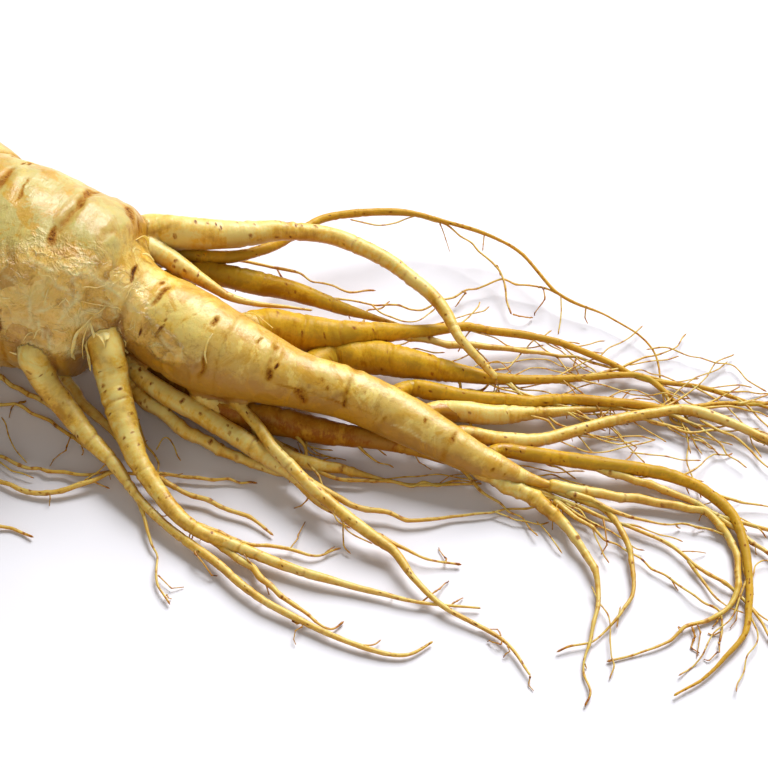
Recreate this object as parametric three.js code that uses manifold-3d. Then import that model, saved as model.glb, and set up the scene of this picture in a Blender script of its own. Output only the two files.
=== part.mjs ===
// A fresh ginseng root lying on a table: a ringed, barrel-shaped body with the knobbly neck that carried
// the stem, a tap root, and the side roots and rootlets that grew out of both. It grew as one piece, so it
// is one solid.
//
// Millimetres, +Z up. The origin is on the flat underside of the body, where the root rests on the table.
// +X runs towards the tips of the roots, and -Y is the side that the lower side roots reach out to.
import * as THREE from "three";
import { mergeVertices } from "three/addons/utils/BufferGeometryUtils.js";
import Module from "manifold-3d";

// How finely each kind of root is made: sides round it, and the distance in mm between its sections.
const BODY_FINENESS = { sides: 24, step: 3.4 };
const SIDE_ROOT_FINENESS = { sides: 8, step: 5.5 };
const ROOTLET_FINENESS = { sides: 5, step: 6 };

// A box that holds everything under the table's surface, in mm: its side, and its depth below z = 0.
const TABLE_SIDE = 400;
const TABLE_DEPTH = 20;

const SKIN = { color: 0xd6b370, roughness: 0.5, metalness: 0 };

// Every root is a list of [x, y, z, radius] in mm, from inside the root that it grew out of to its own tip.
// The body is the thickest, and narrows into the tap root.
const BODY = [
  [-47, 20, 17.5, 5],
  [-44, 19, 17.7, 11.5],
  [-39, 17, 18, 15.5],
  [-30, 13, 18.1, 18],
  [-18, 9.2, 18, 18.9],
  [-12, 6, 17.9, 19],
  [-8, 2.3, 17.8, 18.5],
  [0, -2.4, 17.6, 18.4],
  [6, -4.3, 17.3, 18.2],
  [13, -6.6, 16.7, 17.1],
  [17, -8, 16.5, 16.6],
  [19.6, -9, 16.3, 15.4],
  [21, -9.6, 16, 12],
  [23.1, -10.4, 15.5, 9.6],
  [25.2, -11.2, 15, 8],
  [28, -12.8, 14.5, 7.9],
  [32, -15.3, 14, 8.3],
  [38, -19, 13, 8.3],
  [46.5, -22.5, 12, 6.7],
  [54, -25, 11, 5.1],
  [63, -27, 9.5, 4.6],
  [72, -31, 8, 4.3],
  [79, -35, 6.8, 3.6],
  [85.5, -38.5, 5.5, 2.8],
  [92.5, -41, 4.2, 2],
  [99, -42.5, 3.2, 1.2],
];

// The neck that the leaf stems grew from: thin, knobbly and a little curved, with a bud at its end and the
// stub of the stem that was cut off.
const NECK = [
  [-43, 18.5, 17.5, 6],
  [-49, 21, 18, 4.6],
  [-54, 23.5, 17.5, 5.4],
  [-58.5, 27, 16.5, 4.4],
  [-63, 30.5, 16, 5],
  [-67, 34.5, 15.5, 4],
  [-70.5, 37, 15.5, 3.2],
  [-73, 38.5, 16, 1.2],
];
const STEM_STUB = [
  [-63, 31, 16, 3.4],
  [-66, 31.5, 21, 2.9],
  [-69, 32, 26, 2.7],
];

// The thick side roots, in the order that they leave the body and the tap root.
const SIDE_ROOTS = {
  hidden_lower: [
    [-20, -1, 9, 3.6],
    [-23, -11, 6.5, 2.9],
    [-22, -21, 4.5, 2.3],
    [-17, -30, 3, 1.6],
    [-9, -36, 1.8, 1.1],
    [-2, -39, 1.3, 0.7],
  ],
  lower_left: [
    [7.8, -15, 17.5, 2.8],
    [8.2, -22.5, 16, 2.6],
    [9.2, -24, 12.5, 2.4],
    [11, -25.7, 9.5, 2.3],
    [13.7, -28.4, 7.5, 2],
    [18, -33.7, 5.2, 1.7],
    [22.5, -39, 4, 1.2],
    [27, -45, 2.8, 0.8],
    [32, -50, 2.2, 0.8],
    [39, -55.5, 1.8, 0.8],
    [46, -62, 1.5, 0.7],
    [55, -68, 1.2, 0.6],
    [64, -72.5, 1, 0.5],
    [72, -74.5, 0.8, 0.4],
    [77, -72, 0.7, 0.3],
  ],
  lower_middle: [
    [18.5, -15, 16.5, 3.3],
    [20.5, -21, 14.5, 3.1],
    [21.3, -23.6, 12, 3.1],
    [22, -26.4, 10, 2.9],
    [24, -33.2, 7.5, 2.3],
    [27.5, -40.3, 5.5, 1.8],
    [31.5, -46, 4, 1.5],
    [37.5, -51, 3, 1.2],
    [45, -54, 2.2, 1],
    [56, -59, 1.6, 0.8],
    [64, -61.5, 1.2, 0.6],
    [74, -64.5, 1, 0.4],
    [85, -65.5, 0.7, 0.3],
  ],
  lower_right: [
    [19.5, -11, 10, 1.8],
    [24, -19, 8, 1.6],
    [29.5, -24, 7, 1.8],
    [37, -29, 6, 1.8],
    [44, -33.5, 5, 1.8],
    [49.5, -37, 4.2, 1.6],
    [53.5, -40, 3, 0.9],
    [58, -45, 1.8, 0.5],
    [63.5, -48, 1, 0.3],
  ],
  long_forward: [
    [35, -20, 10.5, 1.3],
    [41, -25.5, 8.6, 1],
    [47, -32, 7.4, 1],
    [50.5, -37, 6.6, 1.1],
    [55, -42, 5.6, 1.1],
    [60, -46.5, 4.4, 1.1],
    [67.5, -53, 2.8, 1],
    [71, -56, 2.2, 0.8],
    [74, -60, 1.8, 0.6],
    [79, -65.5, 1.4, 0.5],
    [88.5, -72, 1, 0.4],
    [92.5, -78.5, 0.7, 0.3],
  ],
  under_tap: [
    [35.5, -20, 10.5, 1.9],
    [38.5, -26.3, 6, 2.4],
    [46.5, -28.5, 4.9, 2.6],
    [54.5, -30.2, 4.2, 2.5],
    [63, -31.7, 3.4, 2],
    [72, -33, 2.6, 1.3],
    [79, -35, 1.8, 0.7],
    [86, -37.5, 1.2, 0.4],
  ],
  far_arch: [
    [19, 0.5, 14.5, 3.6],
    [26, 5, 17, 3.3],
    [32, 4.5, 17.4, 3.1],
    [38, 4.5, 17.2, 2.8],
    [44.5, 5.5, 16.8, 2.3],
    [51, 6.7, 16.2, 1.8],
    [60, 6, 15, 1.6],
    [70, 1.5, 13.2, 1.4],
    [74.5, -2.5, 12.2, 1.3],
    [78.5, -6.6, 11.2, 1.2],
    [81.5, -11.5, 10.2, 1],
    [84.5, -15.5, 8.6, 0.8],
    [89, -20, 5.5, 0.6],
  ],
  far_sweep: [
    [20, 0, 12.5, 1.8],
    [31, 3, 12.8, 1.5],
    [37, 3, 12.6, 1.3],
    [43.5, 4.5, 12.2, 1.1],
    [51.5, 10, 11.2, 0.9],
    [59, 16, 10.2, 0.8],
    [71, 19, 8.6, 0.7],
    [80, 18, 7.2, 0.5],
    [92.5, 13.5, 5.4, 0.4],
    [102.5, 2.5, 3.4, 0.4],
    [111, -2.5, 2.4, 0.3],
    [118.5, -10, 1.6, 0.3],
    [119.5, -22, 1, 0.3],
  ],
  crotch_spur: [
    [22, 3.2, 15.5, 2],
    [25.3, 1.7, 16.8, 2.2],
    [28.5, 0.3, 16.4, 2],
    [32.2, -1.9, 15.6, 1.7],
    [37.4, -4.9, 14.4, 1.1],
    [43, -7.3, 12.9, 0.7],
    [51, -7.5, 10.5, 0.4],
    [56, -7, 9, 0.3],
  ],
  far_spur: [
    [25, -5, 12.5, 2.2],
    [35, 0.5, 11, 2.2],
    [40, 0, 10.6, 2.2],
    [45.5, -1, 10, 2.2],
    [51.5, -2, 9.2, 1.9],
    [57.5, -3.5, 8.2, 1.5],
    [62, -4.5, 7, 1.1],
    [66.5, -5.5, 6, 0.7],
    [72, -6.5, 4.8, 0.4],
  ],
  far_thick: [
    [41, -18, 12, 3.4],
    [46.5, -12.8, 10.5, 3.6],
    [52, -12.3, 9.6, 3.7],
    [57.5, -12.5, 9, 3.1],
    [63, -12, 8.4, 2.4],
    [69, -10.5, 7.5, 1.8],
    [75.5, -9.5, 6.5, 1.3],
    [83, -8, 5.4, 0.9],
    [90, -7.5, 4.2, 0.8],
    [98.5, -8.5, 3, 0.7],
    [110, -13, 2, 0.6],
    [117, -17, 1.6, 0.5],
    [126, -18, 1.2, 0.5],
    [134.5, -21.5, 1, 0.4],
    [141, -24, 0.8, 0.3],
  ],
  far_low: [
    [54, -22.5, 8.5, 2.3],
    [59.5, -15.5, 6.3, 2.9],
    [65, -15.5, 6, 3.2],
    [72, -16, 5.4, 2.9],
    [77.5, -17, 5, 2.3],
    [83.5, -18, 4.4, 1.6],
    [90, -18.5, 3.8, 1.1],
    [98, -18, 3, 0.8],
    [111.5, -16, 2, 0.6],
    [117, -17, 1.6, 0.6],
    [122, -22.5, 1, 0.5],
  ],
  straight_back: [
    [67, -28, 7.5, 1.5],
    [73, -21.8, 5, 1.5],
    [78, -22, 4.4, 1.6],
    [84.5, -23, 4, 1.3],
    [92, -23.5, 3.6, 1.2],
    [100.5, -23, 3, 1.1],
    [111, -23, 2.4, 0.9],
    [119.5, -24, 1.8, 0.7],
    [129, -22.5, 1.3, 0.5],
    [138, -22, 1, 0.4],
    [147, -20.5, 0.8, 0.3],
  ],
  straight_front: [
    [72, -32, 7, 1.8],
    [78, -27, 4.8, 1.7],
    [82.5, -27, 4.2, 1.9],
    [87.5, -27, 3.6, 1.9],
    [95, -25.5, 2.8, 1.3],
    [102, -24.5, 2.2, 0.8],
    [109, -24, 1.8, 0.5],
    [116.5, -24.5, 1.4, 0.3],
  ],
  wavy_right: [
    [77, -35, 6, 1.5],
    [82.5, -31.5, 4.5, 1.3],
    [87, -32, 4, 1.4],
    [91, -32.5, 3.6, 1.5],
    [96.5, -32, 3.2, 1.2],
    [102.5, -30, 2.8, 1.1],
    [109, -27.5, 2.5, 1],
    [116.5, -25.5, 2.4, 1],
    [123.5, -24.5, 2.2, 1],
    [130.5, -27.5, 1.8, 0.9],
    [137, -31, 1.3, 0.7],
    [144, -34.5, 1, 0.5],
    [148, -39, 0.7, 0.3],
  ],
  hook_outer: [
    [85.5, -38.5, 4.8, 1.4],
    [89, -35, 4, 1.2],
    [94.5, -35.5, 3.6, 1.4],
    [105, -37, 3, 1.3],
    [115, -38.5, 2.6, 1.2],
    [120, -40, 2.4, 1.1],
    [124.5, -42.5, 2.2, 1],
    [129, -48.5, 1.8, 0.9],
    [130, -59.5, 1.3, 0.7],
    [128.5, -69, 1, 0.6],
    [123, -76.5, 0.8, 0.4],
    [115.5, -82.5, 0.7, 0.3],
  ],
};

// The rootlets, in the same order: those of the body and its side roots, then those of the tap root's tip.
const ROOTLETS = {
  left_long: [
    [-6, -37, 1.6, 0.8],
    [2, -39, 1.1, 0.5],
    [7, -42, 1, 0.5],
    [12, -42, 1.3, 0.5],
    [17, -40.5, 1.8, 0.5],
    [22.5, -38.5, 2, 0.4],
    [29, -38.5, 1.6, 0.4],
    [36, -39, 1.2, 0.4],
    [47, -40, 0.8, 0.3],
  ],
  left_back: [
    [-12, -34, 2.2, 0.8],
    [-4, -33, 1.2, 0.5],
    [1.5, -34, 1, 0.4],
    [6, -36, 1, 0.4],
    [15, -38.5, 1.3, 0.4],
    [21.5, -38, 2, 0.3],
  ],
  left_thin: [
    [-21, -21, 4, 0.6],
    [-8, -20.5, 1.8, 0.4],
    [0, -22, 1, 0.4],
    [5, -23, 1, 0.4],
    [12, -28.5, 1.4, 0.4],
    [18, -34, 2.8, 0.4],
  ],
  left_front: [
    [-14, -33, 2.4, 0.7],
    [-8, -43, 1, 0.5],
    [-1, -47, 0.8, 0.4],
    [4, -49, 0.7, 0.4],
    [9.5, -51, 0.6, 0.3],
  ],
  under_left: [
    [-16, -3, 7, 0.8],
    [-8, -11, 3.5, 0.6],
    [-1, -16, 1.8, 0.5],
    [5.5, -21, 1.4, 0.5],
    [12, -24.5, 3, 0.4],
    [15, -27, 4.6, 0.4],
  ],
  behind_lower_left: [
    [9, -13, 10, 1.3],
    [12, -20, 6, 1.1],
    [15.5, -24, 4, 1],
    [20, -29, 2.6, 0.7],
    [25, -34, 1.2, 0.4],
  ],
  behind_lower_right: [
    [21, -14, 10, 1.5],
    [24, -21, 6, 1.3],
    [29, -26, 4, 1.3],
    [35, -30.5, 3, 1.2],
    [43, -35, 2.2, 0.9],
    [53, -38.5, 1.4, 0.5],
  ],
  beside_lower_middle: [
    [22, -22, 7.5, 0.6],
    [25.5, -27, 3.2, 0.4],
    [28.5, -33, 1.6, 0.3],
    [30, -39, 1.2, 0.3],
  ],
  lower_forward: [
    [28, -39, 4.6, 0.7],
    [33, -42, 2.2, 0.5],
    [39, -44, 1.5, 0.5],
    [47, -48.5, 1, 0.4],
    [50, -51, 0.8, 0.3],
  ],
  lower_drop: [
    [26, -43, 3.2, 0.5],
    [29, -49, 1.5, 0.4],
    [30.5, -54, 1, 0.3],
    [31.5, -60, 0.8, 0.3],
    [34, -64.5, 0.6, 0.3],
  ],
  middle_near: [
    [36.5, -50.5, 2.8, 0.9],
    [42, -54, 1.8, 0.7],
    [47.5, -59, 1.3, 0.6],
    [56, -66.5, 1, 0.4],
    [60, -69.5, 0.8, 0.3],
    [62.5, -68, 0.7, 0.3],
  ],
  middle_far: [
    [36.5, -50, 3, 0.7],
    [45, -53, 1.9, 0.4],
    [53, -54, 1.2, 0.4],
    [58, -55, 0.9, 0.3],
    [61.5, -53, 0.7, 0.3],
  ],
  forward_back: [
    [54.5, -41.5, 5.4, 0.8],
    [61.5, -45, 3.2, 0.6],
    [67.5, -46.5, 2, 0.5],
    [77, -48, 1.3, 0.4],
    [87.5, -46, 1, 0.3],
    [97, -45, 0.7, 0.3],
  ],
  forward_side: [
    [65.5, -51.5, 3, 0.7],
    [72.5, -54, 1.7, 0.4],
    [76.5, -56, 1.1, 0.3],
    [82, -57, 0.7, 0.3],
  ],
  under_front: [
    [46, -30, 4, 1.2],
    [51, -34.5, 3, 1.2],
    [56, -36.5, 2.6, 1.2],
    [62, -37.5, 2, 0.9],
    [69, -39.5, 1.3, 0.4],
    [77, -40.5, 1, 0.4],
    [86, -39.5, 0.7, 0.3],
  ],
  arch_thread: [
    [30, 2.5, 12, 0.6],
    [42, 7, 7.5, 0.4],
    [50.5, 6.5, 5.5, 0.4],
    [55, 5.5, 4.5, 0.3],
    [61.5, 2.5, 3.4, 0.3],
    [67.5, 3.5, 2.6, 0.3],
  ],
  sweep_twig: [
    [75, 19, 8, 0.5],
    [82, 16.5, 6.4, 0.3],
    [88.5, 11, 4.4, 0.3],
    [91.5, 6, 3, 0.3],
    [93, -1, 1.6, 0.3],
  ],
  spur_thread: [
    [56.5, -3, 8, 0.5],
    [61.5, 0.5, 4.2, 0.3],
    [69, 0, 3, 0.3],
    [77, 0, 2.2, 0.3],
    [85, 5, 2.2, 0.3],
    [93, 6, 2.8, 0.3],
    [102.5, 2.5, 3.3, 0.3],
  ],
  thick_thread: [
    [70, -10.5, 7, 0.7],
    [81, -11, 4.4, 0.7],
    [90, -10.5, 3.2, 0.6],
    [101, -11.5, 2.2, 0.4],
    [112.5, -15, 1.6, 0.3],
  ],
  hook_twig: [
    [103, -36.5, 3, 0.8],
    [113, -40.5, 2, 0.7],
    [121.5, -44, 1.6, 0.6],
    [127, -48, 1.4, 0.5],
    [134.5, -50, 1, 0.4],
    [142, -50.5, 0.7, 0.3],
  ],
  hook_side: [
    [122.5, -44.5, 1.6, 0.5],
    [129, -50, 1.2, 0.5],
    [134, -54.5, 0.9, 0.4],
    [139, -60, 0.7, 0.3],
  ],
  tip_hook: [
    [97, -42, 3.4, 1.2],
    [106, -43.5, 2.3, 0.9],
    [113, -44, 1.7, 0.8],
    [121.5, -45.5, 1.4, 0.7],
    [127, -50, 1.2, 0.7],
    [128.5, -57, 1, 0.6],
    [126, -65, 0.9, 0.5],
    [119, -69.5, 0.8, 0.4],
    [112, -73.5, 0.7, 0.3],
    [105, -75.5, 0.6, 0.3],
  ],
  tip_front: [
    [84, -38.5, 5, 1.8],
    [92, -43, 3.2, 1.4],
    [96.5, -46, 2.4, 1.2],
    [100, -49.5, 1.9, 0.9],
    [103, -56, 1.5, 0.7],
    [104.5, -62.5, 1.2, 0.5],
    [103, -71, 1, 0.4],
    [101.5, -76, 0.8, 0.3],
    [102, -81, 0.7, 0.3],
    [101, -84, 0.6, 0.3],
  ],
  tip_middle: [
    [92, -41, 3.8, 0.9],
    [101, -43.5, 2.4, 0.7],
    [108, -47.5, 1.7, 0.6],
    [110.5, -56.5, 1.2, 0.5],
    [109.5, -64, 1, 0.4],
    [104.5, -70.5, 0.8, 0.3],
    [97, -74, 0.6, 0.3],
  ],
  tip_long: [
    [90, -40.5, 4, 0.8],
    [99, -44.5, 2.2, 0.5],
    [109, -49, 1.5, 0.4],
    [116.5, -52.5, 1.2, 0.4],
    [121, -57, 1, 0.4],
    [127.5, -62.5, 0.9, 0.4],
    [132, -71, 0.7, 0.3],
    [135, -78, 0.6, 0.3],
  ],
  tip_thin: [
    [98, -44.5, 2.2, 0.6],
    [107, -52.5, 1.4, 0.3],
    [113.5, -56.5, 1.1, 0.3],
    [121, -64.5, 0.9, 0.3],
    [124.5, -67, 0.8, 0.3],
    [123.5, -72, 0.6, 0.3],
  ],
  tip_back: [
    [100, -43, 2.8, 0.7],
    [115, -49, 1.6, 0.3],
    [121, -49, 1.2, 0.3],
    [127.5, -51, 1, 0.3],
  ],
};

const wasm = await Module();
wasm.setup();

// A closed geometry as a manifold-3d solid, with its shared vertices merged and the empty faces at its
// poles left out.
function solidOf(geometry) {
  geometry.deleteAttribute("normal");
  geometry.deleteAttribute("uv");
  const merged = mergeVertices(geometry, 1e-5);
  const corners = merged.index.array;
  const faces = [];
  for (let i = 0; i < corners.length; i += 3) {
    const [a, b, c] = corners.subarray(i, i + 3);
    if (a !== b && b !== c && c !== a) faces.push(a, b, c);
  }
  return new wasm.Manifold(
    new wasm.Mesh({
      numProp: 3,
      vertProperties: merged.attributes.position.array,
      triVerts: new Uint32Array(faces),
    }),
  );
}

// The radius at curve parameter t, where the points stand at equal steps of t.
function radiusAt(route, t) {
  const place = t * (route.length - 1);
  const before = Math.min(Math.floor(place), route.length - 2);
  return THREE.MathUtils.lerp(route[before][3], route[before + 1][3], place - before);
}

// One root: a lathe of its radii, turned on the Y axis with a section at each whole y, then bent so that
// section y lies across the route.
function rootSolid(route, { sides, step }) {
  const centres = route.map(([x, y, z]) => new THREE.Vector3(x, y, z));
  const spine = new THREE.CatmullRomCurve3(centres, false, "catmullrom", 0.5);
  const steps = Math.max(4, Math.round(spine.getLength() / step));
  const profile = [new THREE.Vector2(0, 0)];
  for (let i = 0; i <= steps; i++) {
    profile.push(new THREE.Vector2(radiusAt(route, spine.getUtoTmapping(i / steps)), i));
  }
  profile.push(new THREE.Vector2(0, steps));
  const geometry = new THREE.LatheGeometry(profile, sides);
  const { normals, binormals } = spine.computeFrenetFrames(steps, false);
  const position = geometry.attributes.position;
  const point = new THREE.Vector3();
  for (let i = 0; i < position.count; i++) {
    const section = Math.round(position.getY(i));
    spine.getPointAt(section / steps, point);
    point.addScaledVector(binormals[section], position.getX(i));
    point.addScaledVector(normals[section], position.getZ(i));
    position.setXYZ(i, point.x, point.y, point.z);
  }
  return solidOf(geometry);
}

// Everything below the table's surface.
function tableSolid() {
  const box = new THREE.BoxGeometry(TABLE_SIDE, TABLE_SIDE, TABLE_DEPTH);
  box.translate(0, 0, -TABLE_DEPTH / 2);
  return solidOf(box);
}

function ginsengSolid() {
  let whole = rootSolid(BODY, BODY_FINENESS);
  for (const route of [NECK, STEM_STUB, ...Object.values(SIDE_ROOTS)]) {
    whole = whole.add(rootSolid(route, SIDE_ROOT_FINENESS));
  }
  for (const route of Object.values(ROOTLETS)) {
    whole = whole.add(rootSolid(route, ROOTLET_FINENESS));
  }
  return whole.subtract(tableSolid());
}

function meshOf(solid, name, look) {
  const { vertProperties, triVerts } = solid.getMesh();
  const geometry = new THREE.BufferGeometry();
  geometry.setAttribute("position", new THREE.BufferAttribute(vertProperties, 3));
  geometry.setIndex(new THREE.BufferAttribute(triVerts, 1));
  geometry.computeVertexNormals();
  const mesh = new THREE.Mesh(geometry, new THREE.MeshStandardMaterial(look));
  mesh.name = name;
  return mesh;
}

const root = new THREE.Group();
root.add(meshOf(ginsengSolid(), "ginseng_root", SKIN));

export default root;
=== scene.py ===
"""A fresh ginseng root on a pale table, laid out as a Blender add-on and run as a script.

Every root is carried along the centre line of its part of the frame's one solid. The body, its neck, the
tap root and the bases of the side roots are one continuous skin. The side roots, the rootlets and the
hair-fine twigs are tubes that grow out of it, and shreds of torn skin lie on it.
The tables are in millimetres, the meshes in metres, and both stand in the frame of the solid.
"""

from collections import namedtuple

import bpy
import numpy as np
from bpy.props import FloatProperty, FloatVectorProperty, IntProperty, PointerProperty
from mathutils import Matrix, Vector


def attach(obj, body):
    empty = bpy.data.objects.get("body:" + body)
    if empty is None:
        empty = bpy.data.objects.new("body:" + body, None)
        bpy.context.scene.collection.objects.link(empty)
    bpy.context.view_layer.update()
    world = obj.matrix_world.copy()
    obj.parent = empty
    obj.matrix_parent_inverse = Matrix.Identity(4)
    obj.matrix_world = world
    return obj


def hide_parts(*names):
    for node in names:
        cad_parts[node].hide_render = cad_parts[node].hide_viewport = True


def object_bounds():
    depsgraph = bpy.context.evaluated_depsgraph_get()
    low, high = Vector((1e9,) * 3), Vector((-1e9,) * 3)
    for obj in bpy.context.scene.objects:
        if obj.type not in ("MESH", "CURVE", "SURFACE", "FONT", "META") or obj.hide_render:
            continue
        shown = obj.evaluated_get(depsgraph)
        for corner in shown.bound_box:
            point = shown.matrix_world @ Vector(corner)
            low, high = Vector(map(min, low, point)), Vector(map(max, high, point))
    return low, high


bl_info = {
    "name": "Ginseng Root",
    "version": (1, 0, 0),
    "blender": (4, 5, 0),
    "location": "3D View > Sidebar > Ginseng",
    "description": "Grows a fresh ginseng root with its side roots, rootlets, scars and torn skin",
    "category": "Add Mesh",
}

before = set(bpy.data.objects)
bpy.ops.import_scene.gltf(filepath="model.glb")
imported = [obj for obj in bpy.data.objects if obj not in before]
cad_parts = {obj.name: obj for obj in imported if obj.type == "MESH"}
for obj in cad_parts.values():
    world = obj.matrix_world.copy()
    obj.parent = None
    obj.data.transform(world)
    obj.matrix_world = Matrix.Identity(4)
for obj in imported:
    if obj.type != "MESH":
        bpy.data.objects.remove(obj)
CAD_BOX = [list(corner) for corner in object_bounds()]

BODY_NAME = "root"
NODE_NAME = "ginseng_root"
MM = 0.001

# Every root is a list of (x, y, z, radius) in mm, from inside the root that it grew out of to its own tip.
# The body is the thickest, and narrows into the tap root.
BODY = [
    (-47, 20, 17.5, 5), (-44, 19, 17.7, 11.5), (-39, 17, 18, 15.5), (-30, 13, 18.1, 18),
    (-18, 9.2, 18, 18.9), (-12, 6, 17.9, 19), (-8, 2.3, 17.8, 18.5), (0, -2.4, 17.6, 18.4),
    (6, -4.3, 17.3, 18.2), (13, -6.6, 16.7, 17.1), (17, -8, 16.5, 16.6), (19.6, -9, 16.3, 15.4),
    (21, -9.6, 16, 12), (23.1, -10.4, 15.5, 9.6), (25.2, -11.2, 15, 8), (28, -12.8, 14.5, 7.9),
    (32, -15.3, 14, 8.3), (38, -19, 13, 8.3), (46.5, -22.5, 12, 6.7), (54, -25, 11, 5.1),
    (63, -27, 9.5, 4.6), (72, -31, 8, 4.3), (79, -35, 6.8, 3.6), (85.5, -38.5, 5.5, 2.8),
    (92.5, -41, 4.2, 2), (99, -42.5, 3.2, 1.2),
]
NECK = [
    (-43, 18.5, 17.5, 6), (-49, 21, 18, 4.6), (-54, 23.5, 17.5, 5.4), (-58.5, 27, 16.5, 4.4),
    (-63, 30.5, 16, 5), (-67, 34.5, 15.5, 4), (-70.5, 37, 15.5, 3.2), (-73, 38.5, 16, 1.2),
]
STEM_STUB = [
    (-63, 31, 16, 3.4), (-66, 31.5, 21, 2.9), (-69, 32, 26, 2.7),
]
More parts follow.
